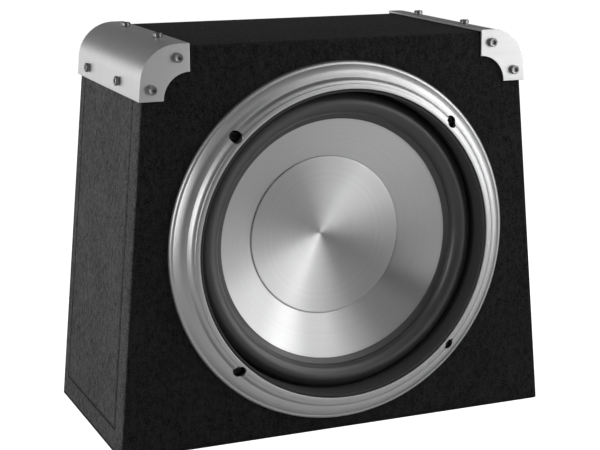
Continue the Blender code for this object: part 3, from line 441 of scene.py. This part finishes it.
def cut_with(piece, cutters):
    """Subtract cutters from a piece for good, remove them, and close and clean what the cuts leave."""
    for cutter in cutters:
        cut = piece.modifiers.new("cut", "BOOLEAN")
        cut.operation = "DIFFERENCE"
        cut.solver = "EXACT"
        cut.object = cutter
    graph = bpy.context.evaluated_depsgraph_get()
    mesh = bpy.data.meshes.new_from_object(piece.evaluated_get(graph))
    piece.modifiers.clear()
    piece.data = mesh
    smooth_up_to(mesh, 35)
    for cutter in cutters:
        bpy.data.objects.remove(cutter)
    bm = bmesh.new()
    bm.from_mesh(mesh)
    bmesh.ops.remove_doubles(bm, verts=bm.verts, dist=0.01 * MM)
    bmesh.ops.dissolve_degenerate(bm, edges=bm.edges, dist=0.005 * MM)
    bmesh.ops.holes_fill(bm, edges=[edge for edge in bm.edges if edge.is_boundary], sides=8)
    bm.to_mesh(mesh)
    bm.free()


def make_cutter(bm):
    """An object that only serves to cut, until cut_with removes it."""
    mesh = bpy.data.meshes.new("cutter")
    bm.to_mesh(mesh)
    bm.free()
    cutter = bpy.data.objects.new("cutter", mesh)
    SCENE.collection.objects.link(cutter)
    return cutter


def box_shape(low, high):
    bm = bmesh.new()
    bmesh.ops.create_cube(bm, size=1)
    bmesh.ops.scale(bm, vec=high - low, verts=bm.verts)
    bmesh.ops.translate(bm, vec=(low + high) / 2, verts=bm.verts)
    return bm


def profile_wire(bm, profile, closed):
    """Points (radius, height, corner rounding) in millimetres, as a wire of edges in the XZ plane."""
    verts = [bm.verts.new((point[0] * MM, 0, point[1] * MM)) for point in profile]
    ends = verts[1:] + verts[:1] if closed else verts[1:]
    for first, second in zip(verts, ends):
        bm.edges.new((first, second))
    for vertex, point in zip(verts, profile):
        if len(point) > 2:
            bmesh.ops.bevel(
                bm,
                geom=[vertex],
                offset=point[2] * MM,
                affect="VERTICES",
                segments=max(2, min(8, round(4 * point[2]))),
                profile=0.5,
                material=-1,
            )


def turned_shape(profile, steps=192, angle=FULL_TURN):
    """Spin a profile about Z. A profile that starts and ends on the axis is left open there."""
    whole = angle == FULL_TURN
    bm = bmesh.new()
    profile_wire(bm, profile, closed=profile[0][0] > 0)
    bmesh.ops.spin(
        bm,
        geom=bm.verts[:] + bm.edges[:],
        cent=(0, 0, 0),
        axis=(0, 0, 1),
        angle=angle,
        steps=steps,
        use_merge=whole,
    )
    bmesh.ops.remove_doubles(bm, verts=bm.verts, dist=0.002 * MM)
    if not whole:
        bmesh.ops.holes_fill(bm, edges=bm.edges, sides=0)
    bmesh.ops.recalc_face_normals(bm, faces=bm.faces)
    return bm


def lathe_map(bm):
    """UV map of a turned shape: u is the radius in metres plus some of the height, and v is the turn."""
    layer = bm.loops.layers.uv.new("lathe")
    for face in bm.faces:
        centre = face.calc_center_median()
        about = math.atan2(centre.y, centre.x)
        for loop in face.loops:
            spot = loop.vert.co
            radius = math.hypot(spot.x, spot.y)
            turn = about
            if radius > 0.001 * MM:
                turn = about + (math.atan2(spot.y, spot.x) - about + math.pi) % FULL_TURN - math.pi
            loop[layer].uv = (radius + 0.3 * spot.z, turn / math.pi)


def turned_piece(name, profile, material, body, nodes=(), sharp=32):
    """A piece turned about the woofer's axis, from a profile in the woofer's own frame."""
    bm = turned_shape(profile)
    lathe_map(bm)
    bmesh.ops.transform(bm, matrix=WOOFER, verts=bm.verts)
    return make_piece(name, bm, material, body, nodes, sharp)


def woofer_cylinder(low_radius, high_radius, low, high, centre=(0, 0), segments=40):
    """A cylinder or cone along the woofer's axis, in millimetres apart from its centre."""
    bm = bmesh.new()
    bmesh.ops.create_cone(
        bm, cap_ends=True, segments=segments, radius1=low_radius * MM, radius2=high_radius * MM,
        depth=(high - low) * MM,
    )
    bmesh.ops.translate(bm, vec=(*centre, (low + high) / 2 * MM), verts=bm.verts)
    bmesh.ops.transform(bm, matrix=WOOFER, verts=bm.verts)
    return bm


# ---------------------------------------------------------------- the woofer's trim ring

# From the inner lip over the stepped bead and the long outer roll, and back under the metal
RING_PROFILE = (
    (141.3, 3.8),
    (141.3, 17.9, 0.6),
    (145.7, 17.3, 0.3),
    (145.9, 15.9, 0.1),
    (148.2, 15.6, 1.6),
    (150.2, 12.8, 1.4),
    (151.2, 10.9, 0.5),
    (154.4, 11.0, 3.0),
    (159.2, 8.0, 4.0),
    (161.9, 4.9, 0.3),
    (162.4, 5.0, 0.2),
    (164.0, 4.2, 0.8),
    (165.0, 2.4, 0.9),
    (165.0, 0.3),
    (163.1, 0.3),
    (159.2, 3.7),
    (151.0, 8.4),
    (145.8, 12.9),
    (143.2, 14.5),
    (143.2, 3.8),
)
# Each pocket's two cutters: radius above, and lowest and highest point; both start at the same radius
POCKET_RADIUS = 5.4
POCKET_CUTS = ((5.4, 2.0, 30.0), (6.5, 15.0, 17.2))


def make_trim_ring():
    """The ring, with a pocket round each of the woofer's screws that flares at its mouth."""
    ring = turned_piece("satin_trim_ring", RING_PROFILE, TRIM_METAL, "cabinet", ("trim_ring",))
    cutters = []
    for number in range(1, 5):
        screw = WOOFER.inverted() @ middle(f"driver_screw_{number}")
        for wide, low, high in POCKET_CUTS:
            cutters.append(make_cutter(woofer_cylinder(POCKET_RADIUS, wide, low, high, (screw.x, screw.y))))
    cut_with(ring, cutters)


def make_gasket_ring():
    """The foam band in the ring's mouth, between the metal and the rubber."""
    profile = [(138.6, -9.2), (138.6, 16.7, 0.5), (140.7, 16.7, 0.5), (140.7, -9.2)]
    turned_piece("foam_gasket_ring", profile, FOAM, "cabinet", ("gasket_ring",))


make_trim_ring()
make_gasket_ring()

# ---------------------------------------------------------------- cone, dust cap and surround

CONE_PROFILE = (
    (115.5, -9.6),
    (115.5, -10.8),
    (33.8, -60.2),
    (33.8, -61.7),
    (32.3, -61.7),
    (32.3, -59.9),
    (73.2, -35.3, 0.3),
    (73.9, -35.3, 0.15),
    (75.0, -34.2, 0.2),
)
CAP_PROFILE = (
    (0, -45.2),
    (1.5, -45.15, 0.6),
    (72.9, -33.5, 0.3),
    (73.9, -33.7, 0.35),
    (73.9, -34.5),
    (72.0, -34.7),
    (0, -46.2),
)


def make_cone():
    """The dished cone with a groove round its cap, and the dished cap that sits in the groove."""
    for name, profile, node, sharp in (
        ("turned_cone", CONE_PROFILE, "cone", 32),
        ("turned_dust_cap", CAP_PROFILE, "dust_cap", 50),
    ):
        turned_piece(name, profile, CONE_METAL, "cone_assembly", (node,), sharp)


# The half roll of rubber: the middle of its circle, its outer radius and its wall
ROLL_CENTRE, ROLL_BASE = 126.7, -9.5
ROLL_RADIUS, RUBBER_THICKNESS = 10.5, 1.2
ROLL_STEPS = 26


def roll_arc(radius, start, end):
    points = []
    for step in range(ROLL_STEPS + 1):
        angle = math.radians(start + (end - start) * step / ROLL_STEPS)
        points.append((ROLL_CENTRE + radius * math.cos(angle), ROLL_BASE + radius * math.sin(angle)))
    return points


def make_surround():
    """The rubber roll in two halves that meet at its crest."""
    inside = ROLL_RADIUS - RUBBER_THICKNESS
    outer = [(140.7, -9.5), (140.7, -10.7), (136.0, -10.7)]
    outer += roll_arc(inside, 0, 90)[1:] + roll_arc(ROLL_RADIUS, 90, 4)
    outer += [(137.9, -9.5, 1.4)]
    inner = roll_arc(inside, 90, 165)
    inner += [(115.5, -9.3), (111.5, -11.7), (111.5, -10.9, 0.4), (115.4, -8.4, 0.5)]
    inner += [(116.6, -7.6, 0.6), (117.4, -8.0, 0.4)]
    inner += roll_arc(ROLL_RADIUS, 160, 90)
    low = WOOFER @ Vector((0, 0, -9 * MM))
    high = WOOFER @ Vector((0, 0, 11 * MM))
    for name, profile, start, end, nodes in (
        ("rubber_roll_outer", outer, low, high, ("surround",)),
        ("rubber_roll_inner", inner, high, low, ()),
    ):
        piece = turned_piece(name, profile, RUBBER, None, nodes, sharp=40)
        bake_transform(piece)


make_cone()
make_surround()

# ---------------------------------------------------------------- what drives the cone

SPIDER_SECTORS = 12
# In millimetres: the cloth's middle height and half its thickness, then its corrugated band
SPIDER_HEIGHT, SPIDER_HALF = -63.8, 0.4
SPIDER_FOLDS, FOLD_START, FOLD_SPAN, FOLD_DEPTH = 12, 62.0, 24.0, 1.6
FOLD_ROUNDING = 0.8


def spider_profile():
    """The flat glued rim, the folds, and the flat neck on the former, over and under."""
    line = [(79.0, 0), (63.0, 0)]
    for number in range(1, SPIDER_FOLDS):
        line.append((FOLD_START - FOLD_SPAN * number / SPIDER_FOLDS, FOLD_DEPTH * (-1) ** number))
    line += [(37.0, 0), (32.3, 0)]
    profile = []
    for points, offset in ((line, SPIDER_HALF), (line[::-1], -SPIDER_HALF)):
        skin = [(radius, SPIDER_HEIGHT + offset + height, FOLD_ROUNDING) for radius, height in points]
        skin[0], skin[-1] = skin[0][:2], skin[-1][:2]
        profile += skin
    return profile


def make_spider():
    """The corrugated cloth disc, in sectors, each turned to its own place round the axis."""
    width = FULL_TURN / SPIDER_SECTORS
    for number in range(SPIDER_SECTORS):
        bm = turned_shape(spider_profile(), steps=6, angle=width)
        turn = Matrix.Rotation(width * (number - 0.5), 4, "Z")
        bmesh.ops.transform(bm, matrix=WOOFER @ turn, verts=bm.verts)
        nodes = ("spider",) if number == 0 else ()
        piece = make_piece(f"spider_sector_{number + 1}", bm, SPIDER_CLOTH, None, nodes)
        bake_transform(piece)


def copy_of(node, name, material, body=None, sharp=35):
    """A merged copy of a CAD node's mesh, as a piece that may be rounded."""
    bm = bmesh.new()
    bm.from_mesh(NODES[node].data)
    bmesh.ops.remove_doubles(bm, verts=bm.verts, dist=0.001 * MM)
    bmesh.ops.dissolve_limit(bm, angle_limit=math.radians(1), verts=bm.verts, edges=bm.edges)
    return make_piece(name, bm, material, body, (node,), sharp)


def make_bending_leads():
    """The two leads from the terminal strip to the cone."""
    for end in ("positive", "negative"):
        piece = copy_of(f"tinsel_lead_{end}", f"braided_lead_{end}", COPPER, sharp=80)
        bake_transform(piece)


def make_leaf_springs():
    """The contact behind each push lever."""
    for colour in ("red", "black"):
        node = f"{colour}_contact"
        piece = copy_of(node, f"{colour}_leaf_spring", COPPER)
        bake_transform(piece)


make_spider()
make_bending_leads()
make_leaf_springs()

# ---------------------------------------------------------------- corner covers

COVER_SHEET = 2.0 * MM
COVER_GAP = 0.3 * MM
COVER_BEND = CORNER_RADIUS + COVER_GAP + COVER_SHEET
COVER_STEPS = 28
SCALLOP = 24 * MM


def cover_outlines(name):
    """The end plates' outer edge over the bend, their scalloped inner edge, and the middle of the bend."""
    low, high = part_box(f"{name}_corner_cover")
    inner_x, foot_x = sorted((abs(low.x), abs(high.x)))
    centre_z = high.z - COVER_BEND
    centre_x = foot_x - SIDE_SLOPE * (centre_z - low.z) - COVER_BEND / math.cos(SIDE_TILT)
    edge = [(inner_x, high.z)]
    scallop = []
    for step in range(COVER_STEPS + 1):
        angle = math.pi / 2 + (SIDE_TILT - math.pi / 2) * step / COVER_STEPS
        edge.append((centre_x + COVER_BEND * math.cos(angle), centre_z + COVER_BEND * math.sin(angle)))
        angle = math.pi / 2 * step / COVER_STEPS
        scallop.append((inner_x + SCALLOP * math.cos(angle), low.z + SCALLOP * math.sin(angle)))
    edge.append((foot_x, low.z))
    return edge, scallop, (centre_x, centre_z)


def bend_map(bm, bend):
    """UV map of a cover: u runs along the depth on the bend and across on the end plates."""
    turn_length = 0.05
    layer = bm.loops.layers.uv.new("bend")
    for face in bm.faces:
        plate = abs(face.normal.y) > 0.9
        for loop in face.loops:
            spot = loop.vert.co
            turn = math.atan2(spot.z - bend[1], abs(spot.x) - bend[0])
            loop[layer].uv = (spot.x, spot.z) if plate else (spot.y, turn * turn_length)


def make_cover(side, name):
    """One sheet folded over a top edge and down both faces: its outer skin, thickened inwards."""
    low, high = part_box(f"{name}_corner_cover")
    edge, scallop, bend = cover_outlines(name)
    bm = bmesh.new()
    rows = []
    for foot_y, slope in ((low.y, FRONT_SLOPE), (high.y, 0)):
        outer, inner = (
            [bm.verts.new((side * x, foot_y + slope * (z - low.z), z)) for x, z in line]
            for line in (edge, scallop)
        )
        bm.faces.new(outer + inner)
        rows.append(outer)
    between = [bm.edges.get(pair) for row in rows for pair in zip(row, row[1:])]
    bmesh.ops.bridge_loops(bm, edges=between)
    bmesh.ops.recalc_face_normals(bm, faces=bm.faces)
    outward = Vector((side, 0, 0.3))
    if any(abs(face.normal.x) > 0.5 and face.normal.dot(outward) < 0 for face in bm.faces):
        bmesh.ops.reverse_faces(bm, faces=bm.faces)
    bend_map(bm, bend)
    piece = make_piece(
        f"{name}_corner_sheet", bm, COVER_METAL, "cabinet", (f"{name}_corner_cover",), 30
    )
    wall = piece.modifiers.new("sheet", "SOLIDIFY")
    wall.thickness = COVER_SHEET
    wall.offset = -1
    wall.use_even_offset = True
    add_bevel(piece, 0.45 * MM, 3, 50)


for side, name in SIDES:
    make_cover(side, name)

# ---------------------------------------------------------------- screws

# In millimetres. A screw grows from its shank's end by steps: a radius, a height above the head's
# underside, whether the outline is a hexagon, and the depth of its teeth. "head" is the CAD head's height.
SHANK_LENGTH = 12
CAP_SCREW = {
    "head": 3.4,
    "segments": 60,
    "steps": (
        (2.2, 0), (3.8, 0), (4.15, 0.35), (4.2, 0.7, False, 0.16), (4.2, 2.4, False, 0.16), (4.15, 2.7),
        (4.0, 3.1), (3.6, 3.4), (2.6, 3.4), (2.3, 3.15, True), (2.28, 1.3, True), (1.2, 1.0),
    ),
}
PAN_SCREW = {
    "head": 2.2,
    "segments": 40,
    "steps": (
        (1.5, 0), (2.9, 0), (3.0, 0.2), (2.95, 0.8), (2.7, 1.3), (2.2, 1.75), (1.5, 2.05), (0.8, 2.18),
    ),
}
CROSS_SLOT = Vector((3.2, 0.7, 2.4)) * MM
CROSS_TURN = 0.5


def grow_step(bm, face, radius, height, hexagonal=False, teeth=0.0):
    """Extrude one end face of a growing screw to a new radius and height."""
    made = bmesh.ops.extrude_face_region(bm, geom=[face, *face.edges])["geom"]
    face = next(item for item in made if isinstance(item, bmesh.types.BMFace))
    for number, vertex in enumerate(face.verts):
        reach = radius
        if hexagonal:
            part = (number * FULL_TURN / len(face.verts)) % (math.pi / 3)
            reach = radius * math.cos(math.pi / 6) / math.cos(part - math.pi / 6)
        elif number % 2:
            reach = radius - teeth
        direction = Vector((vertex.co.x, vertex.co.y)).normalized()
        vertex.co = (*(direction * reach * MM), height * MM)
    return face


def screw_shape(kind):
    """A screw with the underside of its head at zero."""
    bm = bmesh.new()
    shank_radius = kind["steps"][0][0] * MM
    bmesh.ops.create_circle(bm, cap_ends=True, segments=kind["segments"], radius=shank_radius)
    bmesh.ops.translate(bm, vec=(0, 0, -SHANK_LENGTH * MM), verts=bm.verts)
    bm.faces.ensure_lookup_table()
    face = bm.faces[0]
    for step in kind["steps"]:
        face = grow_step(bm, face, *step)
    bmesh.ops.recalc_face_normals(bm, faces=bm.faces)
    return bm


def screw_seat(node, kind, outward):
    """Where the underside of a screw's head is: its shape and its CAD node have the same two ends."""
    centre = middle(node) - outward * ((kind["head"] - SHANK_LENGTH) / 2) * MM
    return Matrix.Translation(centre) @ outward.to_track_quat("Z", "Y").to_matrix().to_4x4()


def place_screw(node, kind, outward, name, turn=0.0, metal=SCREW_METAL):
    bm = screw_shape(kind)
    seat = screw_seat(node, kind, outward) @ Matrix.Rotation(turn, 4, "Z")
    bmesh.ops.transform(bm, matrix=seat, verts=bm.verts)
    return make_piece(name, bm, metal, "cabinet", (node,), 28)


def cut_cross(screw, node, outward):
    """Cut a cross recess into a domed head, as two slots one after the other."""
    cutters = []
    for turn in (0, math.pi / 2):
        bm = box_shape(-CROSS_SLOT / 2, CROSS_SLOT / 2)
        bmesh.ops.rotate(bm, matrix=Matrix.Rotation(turn + CROSS_TURN, 3, "Z"), verts=bm.verts)
        bmesh.ops.translate(bm, vec=(0, 0, PAN_SCREW["head"] * MM), verts=bm.verts)
        bmesh.ops.transform(bm, matrix=screw_seat(node, PAN_SCREW, outward), verts=bm.verts)
        cutters.append(make_cutter(bm))
    cut_with(screw, cutters)


def place_cover_screws(side, name):
    """Two screws in each flap and each end plate, their sockets turned unevenly, as a driver leaves them."""
    outward = {
        "top": Vector((0, 0, 1)),
        "side": Vector((side, 0, SIDE_SLOPE)).normalized(),
        "face": OUT_OF_FRONT,
        "back": OUT_OF_BACK,
    }
    places = (
        "top_front", "top_rear", "side_front", "side_rear",
        "face_inner", "face_outer", "back_inner", "back_outer",
    )
    for number, place in enumerate(places):
        way = outward[place.split("_")[0]]
        socket_turn = 0.37 * number + side
        place_screw(
            f"{name}_cover_screw_{place}", CAP_SCREW, way, f"cap_screw_{name}_{place}", socket_turn
        )


def place_woofer_screw(number):
    place_screw(
        f"driver_screw_{number}", CAP_SCREW, OUT_OF_FRONT, f"woofer_screw_{number}", number, DARK_SCREW_METAL
    )


def place_cup_screw(number):
    node = f"terminal_screw_{number}"
    screw = place_screw(node, PAN_SCREW, OUT_OF_BACK, f"cup_screw_{number}")
    cut_cross(screw, node, OUT_OF_BACK)


for side, name in SIDES:
    place_cover_screws(side, name)
for number in range(1, 5):
    place_woofer_screw(number)
    place_cup_screw(number)

# ---------------------------------------------------------------- carpet

PILE_DEPTH = 2.0 * MM
# The rounding of the wrap's long edges outside and inside, of the base sheet's corners, and of the cut edges
WRAP_ROUNDING, HOLLOW_ROUNDING = 4.5 * MM, 2.5 * MM
BASE_ROUNDING = 4.6 * MM
CUT_ROUNDING = 0.7 * MM
CARPET_CORNER_STEPS = 20
# The seams round each side sheet: their gap, which is wider along the front, and the band beside them, where
# painted shade fades in along the lower and rear seams
SEAM_GAP, FRONT_SEAM_GAPS = 0.15 * MM, 7
SEAM_BAND, SEAM_ROUNDING = 7 * MM, 1.5 * MM
WOOFER_HOLE_RADIUS = 143.5  # in millimetres, as everything turned about the woofer's axis
CUP_HOLE = Vector((68.6, 40, 44.6)) * MM
# A seam's cutter reaches this far to both sides of the carpet's face, and the hollow starts below the base
CUT_REACH, BELOW_BASE = 8 * MM, -50 * MM


def carpet_outline(inset, foot):
    """Half the cabinet's front outline, an inset under the pile: up from the foot and round the corner."""
    low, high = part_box("carpet_wrap")
    base_x = high.x + SIDE_SLOPE * low.z
    radius = CORNER_RADIUS - inset
    centre_z = high.z - CORNER_RADIUS
    centre_x = base_x - CORNER_RADIUS * SIDE_STRETCH - SIDE_SLOPE * centre_z
    points = [(base_x - inset * SIDE_STRETCH - SIDE_SLOPE * foot, foot)]
    for step in range(CARPET_CORNER_STEPS + 1):
        angle = SIDE_TILT + (math.pi / 2 - SIDE_TILT) * step / CARPET_CORNER_STEPS
        points.append((centre_x + radius * math.cos(angle), centre_z + radius * math.sin(angle)))
    return points


def carpet_prism(inset, foot, rounding, segments):
    """The cabinet's block, an inset under the pile, its long edges rounded."""
    front_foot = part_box("carpet_bottom")[0].y + inset
    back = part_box("carpet_wrap")[1].y - inset
    right = carpet_outline(inset, foot)
    outline = right + [(-x, z) for x, z in reversed(right)]
    bm = bmesh.new()
    face = bm.faces.new([bm.verts.new((x, front_foot + FRONT_SLOPE * z, z)) for x, z in outline])
    made = bmesh.ops.extrude_face_region(bm, geom=[face])["geom"]
    for vertex in (item for item in made if isinstance(item, bmesh.types.BMVert)):
        vertex.co.y = back
    bmesh.ops.recalc_face_normals(bm, faces=bm.faces)
    round_outline(bm, rounding, segments)
    return bm


def round_outline(bm, radius, segments):
    """Round the long edges where the front and back faces meet the sides and the top."""
    edges = []
    for edge in bm.edges:
        plates = [abs(face.normal.y) > 0.9 for face in edge.link_faces]
        floor = any(face.normal.z < -0.9 for face in edge.link_faces)
        if plates.count(True) == 1 and not floor:
            edges.append(edge)
    bmesh.ops.bevel(
        bm, geom=edges, offset=radius, affect="EDGES", segments=segments, profile=0.5, material=-1
    )


def side_pane(side, name, grow, outside, inside):
    """The block within a side's seams, grown all round, from outside the side's face to inside it."""
    low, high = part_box(f"carpet_{name}")
    wrap_low, wrap_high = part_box("carpet_wrap")
    front_foot = low.y - FRONT_SEAM_GAPS * grow
    pane = bmesh.new()
    bmesh.ops.create_cube(pane, size=1)
    for vertex in pane.verts:
        spot = vertex.co
        z = high.z + grow if spot.z > 0 else low.z - grow
        y = high.y + grow if spot.y > 0 else front_foot + FRONT_SLOPE * (z - low.z)
        inset = inside if spot.x * side < 0 else -outside
        x = wrap_high.x + SIDE_SLOPE * (wrap_low.z - z) - inset * SIDE_STRETCH
        vertex.co = (side * x, y, z)
    bmesh.ops.recalc_face_normals(pane, faces=pane.faces)
    return pane


def make_side_sheet(side, name):
    """The sheet within a side's seams, its rim rounded, with painted shade along the lower and rear ones."""
    low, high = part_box(f"carpet_{name}")
    pane = side_pane(side, name, 0, 0, PILE_DEPTH)
    outer_face = max(pane.faces, key=lambda face: face.normal.x * side)
    bmesh.ops.inset_region(pane, faces=[outer_face], thickness=SEAM_BAND)
    painted_light_clear_of_seams = set(outer_face.verts)
    rim = [
        edge for edge in pane.edges
        if sum(face.normal.x * side > 0.9 for face in edge.link_faces) == 1
    ]
    # Painted shade along the lower and rear seams, fading to none across the band towards the middle of the
    # sheet
    painted_seam_shade = pane.verts.layers.float.new("painted_seam_shade")
    for vertex in pane.verts:
        at_seam = vertex.co.z < low.z + MM or vertex.co.y > high.y - MM
        vertex[painted_seam_shade] = 0.0 if vertex in painted_light_clear_of_seams else float(at_seam)
    bmesh.ops.bevel(
        pane, geom=rim, offset=SEAM_ROUNDING, affect="EDGES", segments=3, profile=0.5, material=-1
    )
    sheet = make_piece(
        f"carpet_side_sheet_{name}", pane, CARPET, "cabinet", (f"carpet_{name}",), 50
    )


def make_base_sheet():
    """The sheet the cabinet stands on, its corners rounded like the wrap's edges above it."""
    low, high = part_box("carpet_bottom")
    bm = box_shape(low, high)
    upright = [edge for edge in bm.edges if abs(edge.verts[0].co.z - edge.verts[1].co.z) > MM]
    bmesh.ops.bevel(
        bm, geom=upright, offset=BASE_ROUNDING, affect="EDGES", segments=5, profile=0.5, material=-1
    )
    sheet = make_piece("carpet_base_sheet", bm, CARPET, "cabinet", ("carpet_bottom",), 50)
    add_bevel(sheet, 0.6 * MM, 2, 60)


def make_wrap():
    """Front, top and back in one length, turned onto the sides, and cut out for what stands in it."""
    low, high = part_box("carpet_wrap")
    cup_centre = Vector((0, high.y, middle("terminal_cup").z))
    bm = carpet_prism(0, low.z, WRAP_ROUNDING, 5)
    wrap = make_piece("carpet_wrapped_sheet", bm, CARPET, "cabinet", ("carpet_wrap",), 50)
    shapes = [
        carpet_prism(PILE_DEPTH, BELOW_BASE, HOLLOW_ROUNDING, 3),
        woofer_cylinder(WOOFER_HOLE_RADIUS, WOOFER_HOLE_RADIUS, -30, 30, segments=96),
        box_shape(cup_centre - CUP_HOLE / 2, cup_centre + CUP_HOLE / 2),
    ]
    shapes += [side_pane(side, name, SEAM_GAP, CUT_REACH, CUT_REACH) for side, name in SIDES]
    cut_with(wrap, [make_cutter(shape) for shape in shapes])
    add_bevel(wrap, CUT_ROUNDING, 2, 60)
    return wrap


def make_carpet():
    """All four sheets: the wrap, the side sheets in its openings, and the base sheet under it."""
    wrap = make_wrap()
    for side, name in SIDES:
        make_side_sheet(side, name)
    make_base_sheet()


make_carpet()

# ---------------------------------------------------------------- terminal cup and the rest


def make_cup():
    """The moulded cup on the back, and its two push levers with their edges rounded."""
    cup = copy_of("terminal_cup", "moulded_terminal_cup", BLACK_PLASTIC, "cabinet", 30)
    add_bevel(cup, 0.5 * MM, 3, 50)
    for colour, material in (("red", RED_PLASTIC), ("black", BLACK_PLASTIC)):
        lever = copy_of(
            f"{colour}_lever", f"{colour}_push_tab", material, f"{colour}_push_lever", 30
        )
        add_bevel(lever, 0.3 * MM, 2, 50)


INNER_FINISHES = {
    "basket": BLACK_PAINT,
    "mounting_gasket": FOAM,
    "coil_former": FORMER_FILM,
    "voice_coil": COPPER,
    "top_plate": ZINC,
    "yoke": ZINC,
    "magnet": FERRITE,
    "terminal_strip": BLACK_PLASTIC,
    "inner_lead_positive": RED_PLASTIC,
    "inner_lead_negative": BLACK_PLASTIC,
    "front_baffle": FIBREBOARD,
    "rear_panel": FIBREBOARD,
    "top_panel": FIBREBOARD,
    "bottom_panel": FIBREBOARD,
    "left_side_panel": FIBREBOARD,
    "right_side_panel": FIBREBOARD,
}


def finish_inner_parts():
    """Give the CAD's own parts inside the cabinet their finishes."""
    for node, material in INNER_FINISHES.items():
        materials = NODES[node].data.materials
        materials.clear()
        materials.append(material)


make_cup()
finish_inner_parts()

# ---------------------------------------------------------------- floor, lights and camera

FLOOR_REACH = 12
FLOOR_DROP = 0.2 * MM
FLOOR_GLOW = 0.97
ROOM_STRENGTH = 0.05


def make_floor():
    """A pale floor just under the cabinet, which looks as white as the world behind it."""
    bm = bmesh.new()
    bmesh.ops.create_grid(bm, x_segments=1, y_segments=1, size=FLOOR_REACH)
    bmesh.ops.translate(bm, vec=(0, 0, -FLOOR_DROP), verts=bm.verts)
    mesh = bpy.data.meshes.new("floor")
    bm.to_mesh(mesh)
    bm.free()
    floor = bpy.data.objects.new("floor", mesh)
    SCENE.collection.objects.link(floor)
    pale = Finish("pale_floor", Base_Color=(0.86, 0.86, 0.86), Roughness=0.8, Emission_Color=(1, 1, 1))
    path = add_node(pale.tree, "ShaderNodeLightPath")
    glow = math_node(pale.tree, "MULTIPLY", path.outputs["Is Camera Ray"], FLOOR_GLOW)
    pale.feed("Emission Strength", glow)
    mesh.materials.append(pale.material)


def make_world():
    """White where the camera sees it, and a dim grey room to everything else."""
    world = bpy.data.worlds.new("studio")
    SCENE.world = world
    world.use_nodes = True
    tree = world.node_tree
    room = tree.nodes["Background"]
    room.inputs["Color"].default_value = (1, 1, 1, 1)
    room.inputs["Strength"].default_value = ROOM_STRENGTH
    seen = add_node(tree, "ShaderNodeBackground", {"Color": (1, 1, 1, 1), "Strength": 1.0})
    path = add_node(tree, "ShaderNodeLightPath")
    both = add_node(
        tree,
        "ShaderNodeMixShader",
        {0: path.outputs["Is Camera Ray"], 1: room.outputs[0], 2: seen.outputs[0]},
    )
    tree.links.new(both.outputs[0], tree.nodes["World Output"].inputs[0])


LIT_POINT = Vector((0, -0.05, 0.18))
# Name, turn from straight ahead towards +X and rise in degrees, distance, width and height, watts
SOFTBOXES = (
    ("left_tall", -80, 12, 2.2, 0.6, 1.2, 10.0),
    ("left_rear", -98, 12, 2.2, 0.7, 1.2, 3.5),
    ("left_high", -96, 42, 1.5, 0.82, 0.61, 1.5),
    ("left_back", -128, 10, 1.3, 0.5, 0.7, 1.0),
    ("front_left_high", -35, 45, 2.2, 0.9, 0.9, 1.0),
    ("front_high", 0, 60, 2.2, 1.2, 0.8, 1.4),
    ("front_right_high", 20, 35, 2.2, 0.7, 0.8, 1.8),
    ("front_right", 34, 3, 2.2, 0.6, 1.0, 3.7),
    ("right_inner", 45, 10, 1.5, 0.41, 0.68, 1.5),
    ("right_high", 45, 45, 1.0, 0.41, 0.36, 0.95),
    ("right_key", 62, 25, 1.0, 0.32, 0.36, 1.25),
    ("right_low", 60, 2, 1.3, 0.35, 0.35, 1.25),
    ("right_rear", 100, 15, 2.2, 0.7, 1.1, 2.8),
    ("back_left", -152, 3, 2.6, 1.2, 0.8, 3.4),
    ("back_middle", 180, 5, 2.6, 1.2, 0.8, 1.9),
    ("back_right", 152, 5, 2.6, 1.2, 0.8, 1.2),
    ("back_high", 180, 30, 2.6, 2.4, 0.9, 1.0),
)


def add_softbox(name, turn, rise, distance, width, height, power):
    """A soft rectangular light that faces the cabinet and isn't seen itself."""
    light = bpy.data.lights.new(name, "AREA")
    light.shape = "RECTANGLE"
    light.size, light.size_y = width, height
    light.energy = power
    softbox = bpy.data.objects.new(name, light)
    SCENE.collection.objects.link(softbox)
    softbox.visible_camera = False
    turn, rise = math.radians(turn), math.radians(rise)
    way = Vector((math.sin(turn) * math.cos(rise), -math.cos(turn) * math.cos(rise), math.sin(rise)))
    softbox.location = LIT_POINT + distance * way
    softbox.rotation_euler = (-way).to_track_quat("-Z", "Y").to_euler()


# The camera's lens and place, and its turn towards +X, its tilt downwards and its roll in degrees
CAMERA_LENS = 93.0
CAMERA_PLACE = (-0.5754, -1.3303, 0.5186)
CAMERA_TURN, CAMERA_DOWN, CAMERA_ROLL = 23.39, 13.46, 0.25


def make_camera():
    camera = bpy.data.cameras.new("camera")
    camera.lens = CAMERA_LENS
    camera.sensor_width = 36.0
    camera.clip_end = 50
    viewer = bpy.data.objects.new("camera", camera)
    SCENE.collection.objects.link(viewer)
    turn, down, roll = (math.radians(angle) for angle in (CAMERA_TURN, CAMERA_DOWN, CAMERA_ROLL))
    ahead = Vector((math.sin(turn) * math.cos(down), math.cos(turn) * math.cos(down), -math.sin(down)))
    level_right = Vector((math.cos(turn), -math.sin(turn), 0))
    level_up = level_right.cross(ahead)
    right = level_right * math.cos(roll) + level_up * math.sin(roll)
    up = level_up * math.cos(roll) - level_right * math.sin(roll)
    facing = Matrix((right, up, -ahead)).transposed().to_4x4()
    viewer.matrix_world = Matrix.Translation(CAMERA_PLACE) @ facing
    SCENE.camera = viewer


make_floor()
make_world()
make_camera()
SCENE.view_settings.view_transform = "Standard"
for softbox in SOFTBOXES:
    add_softbox(*softbox)
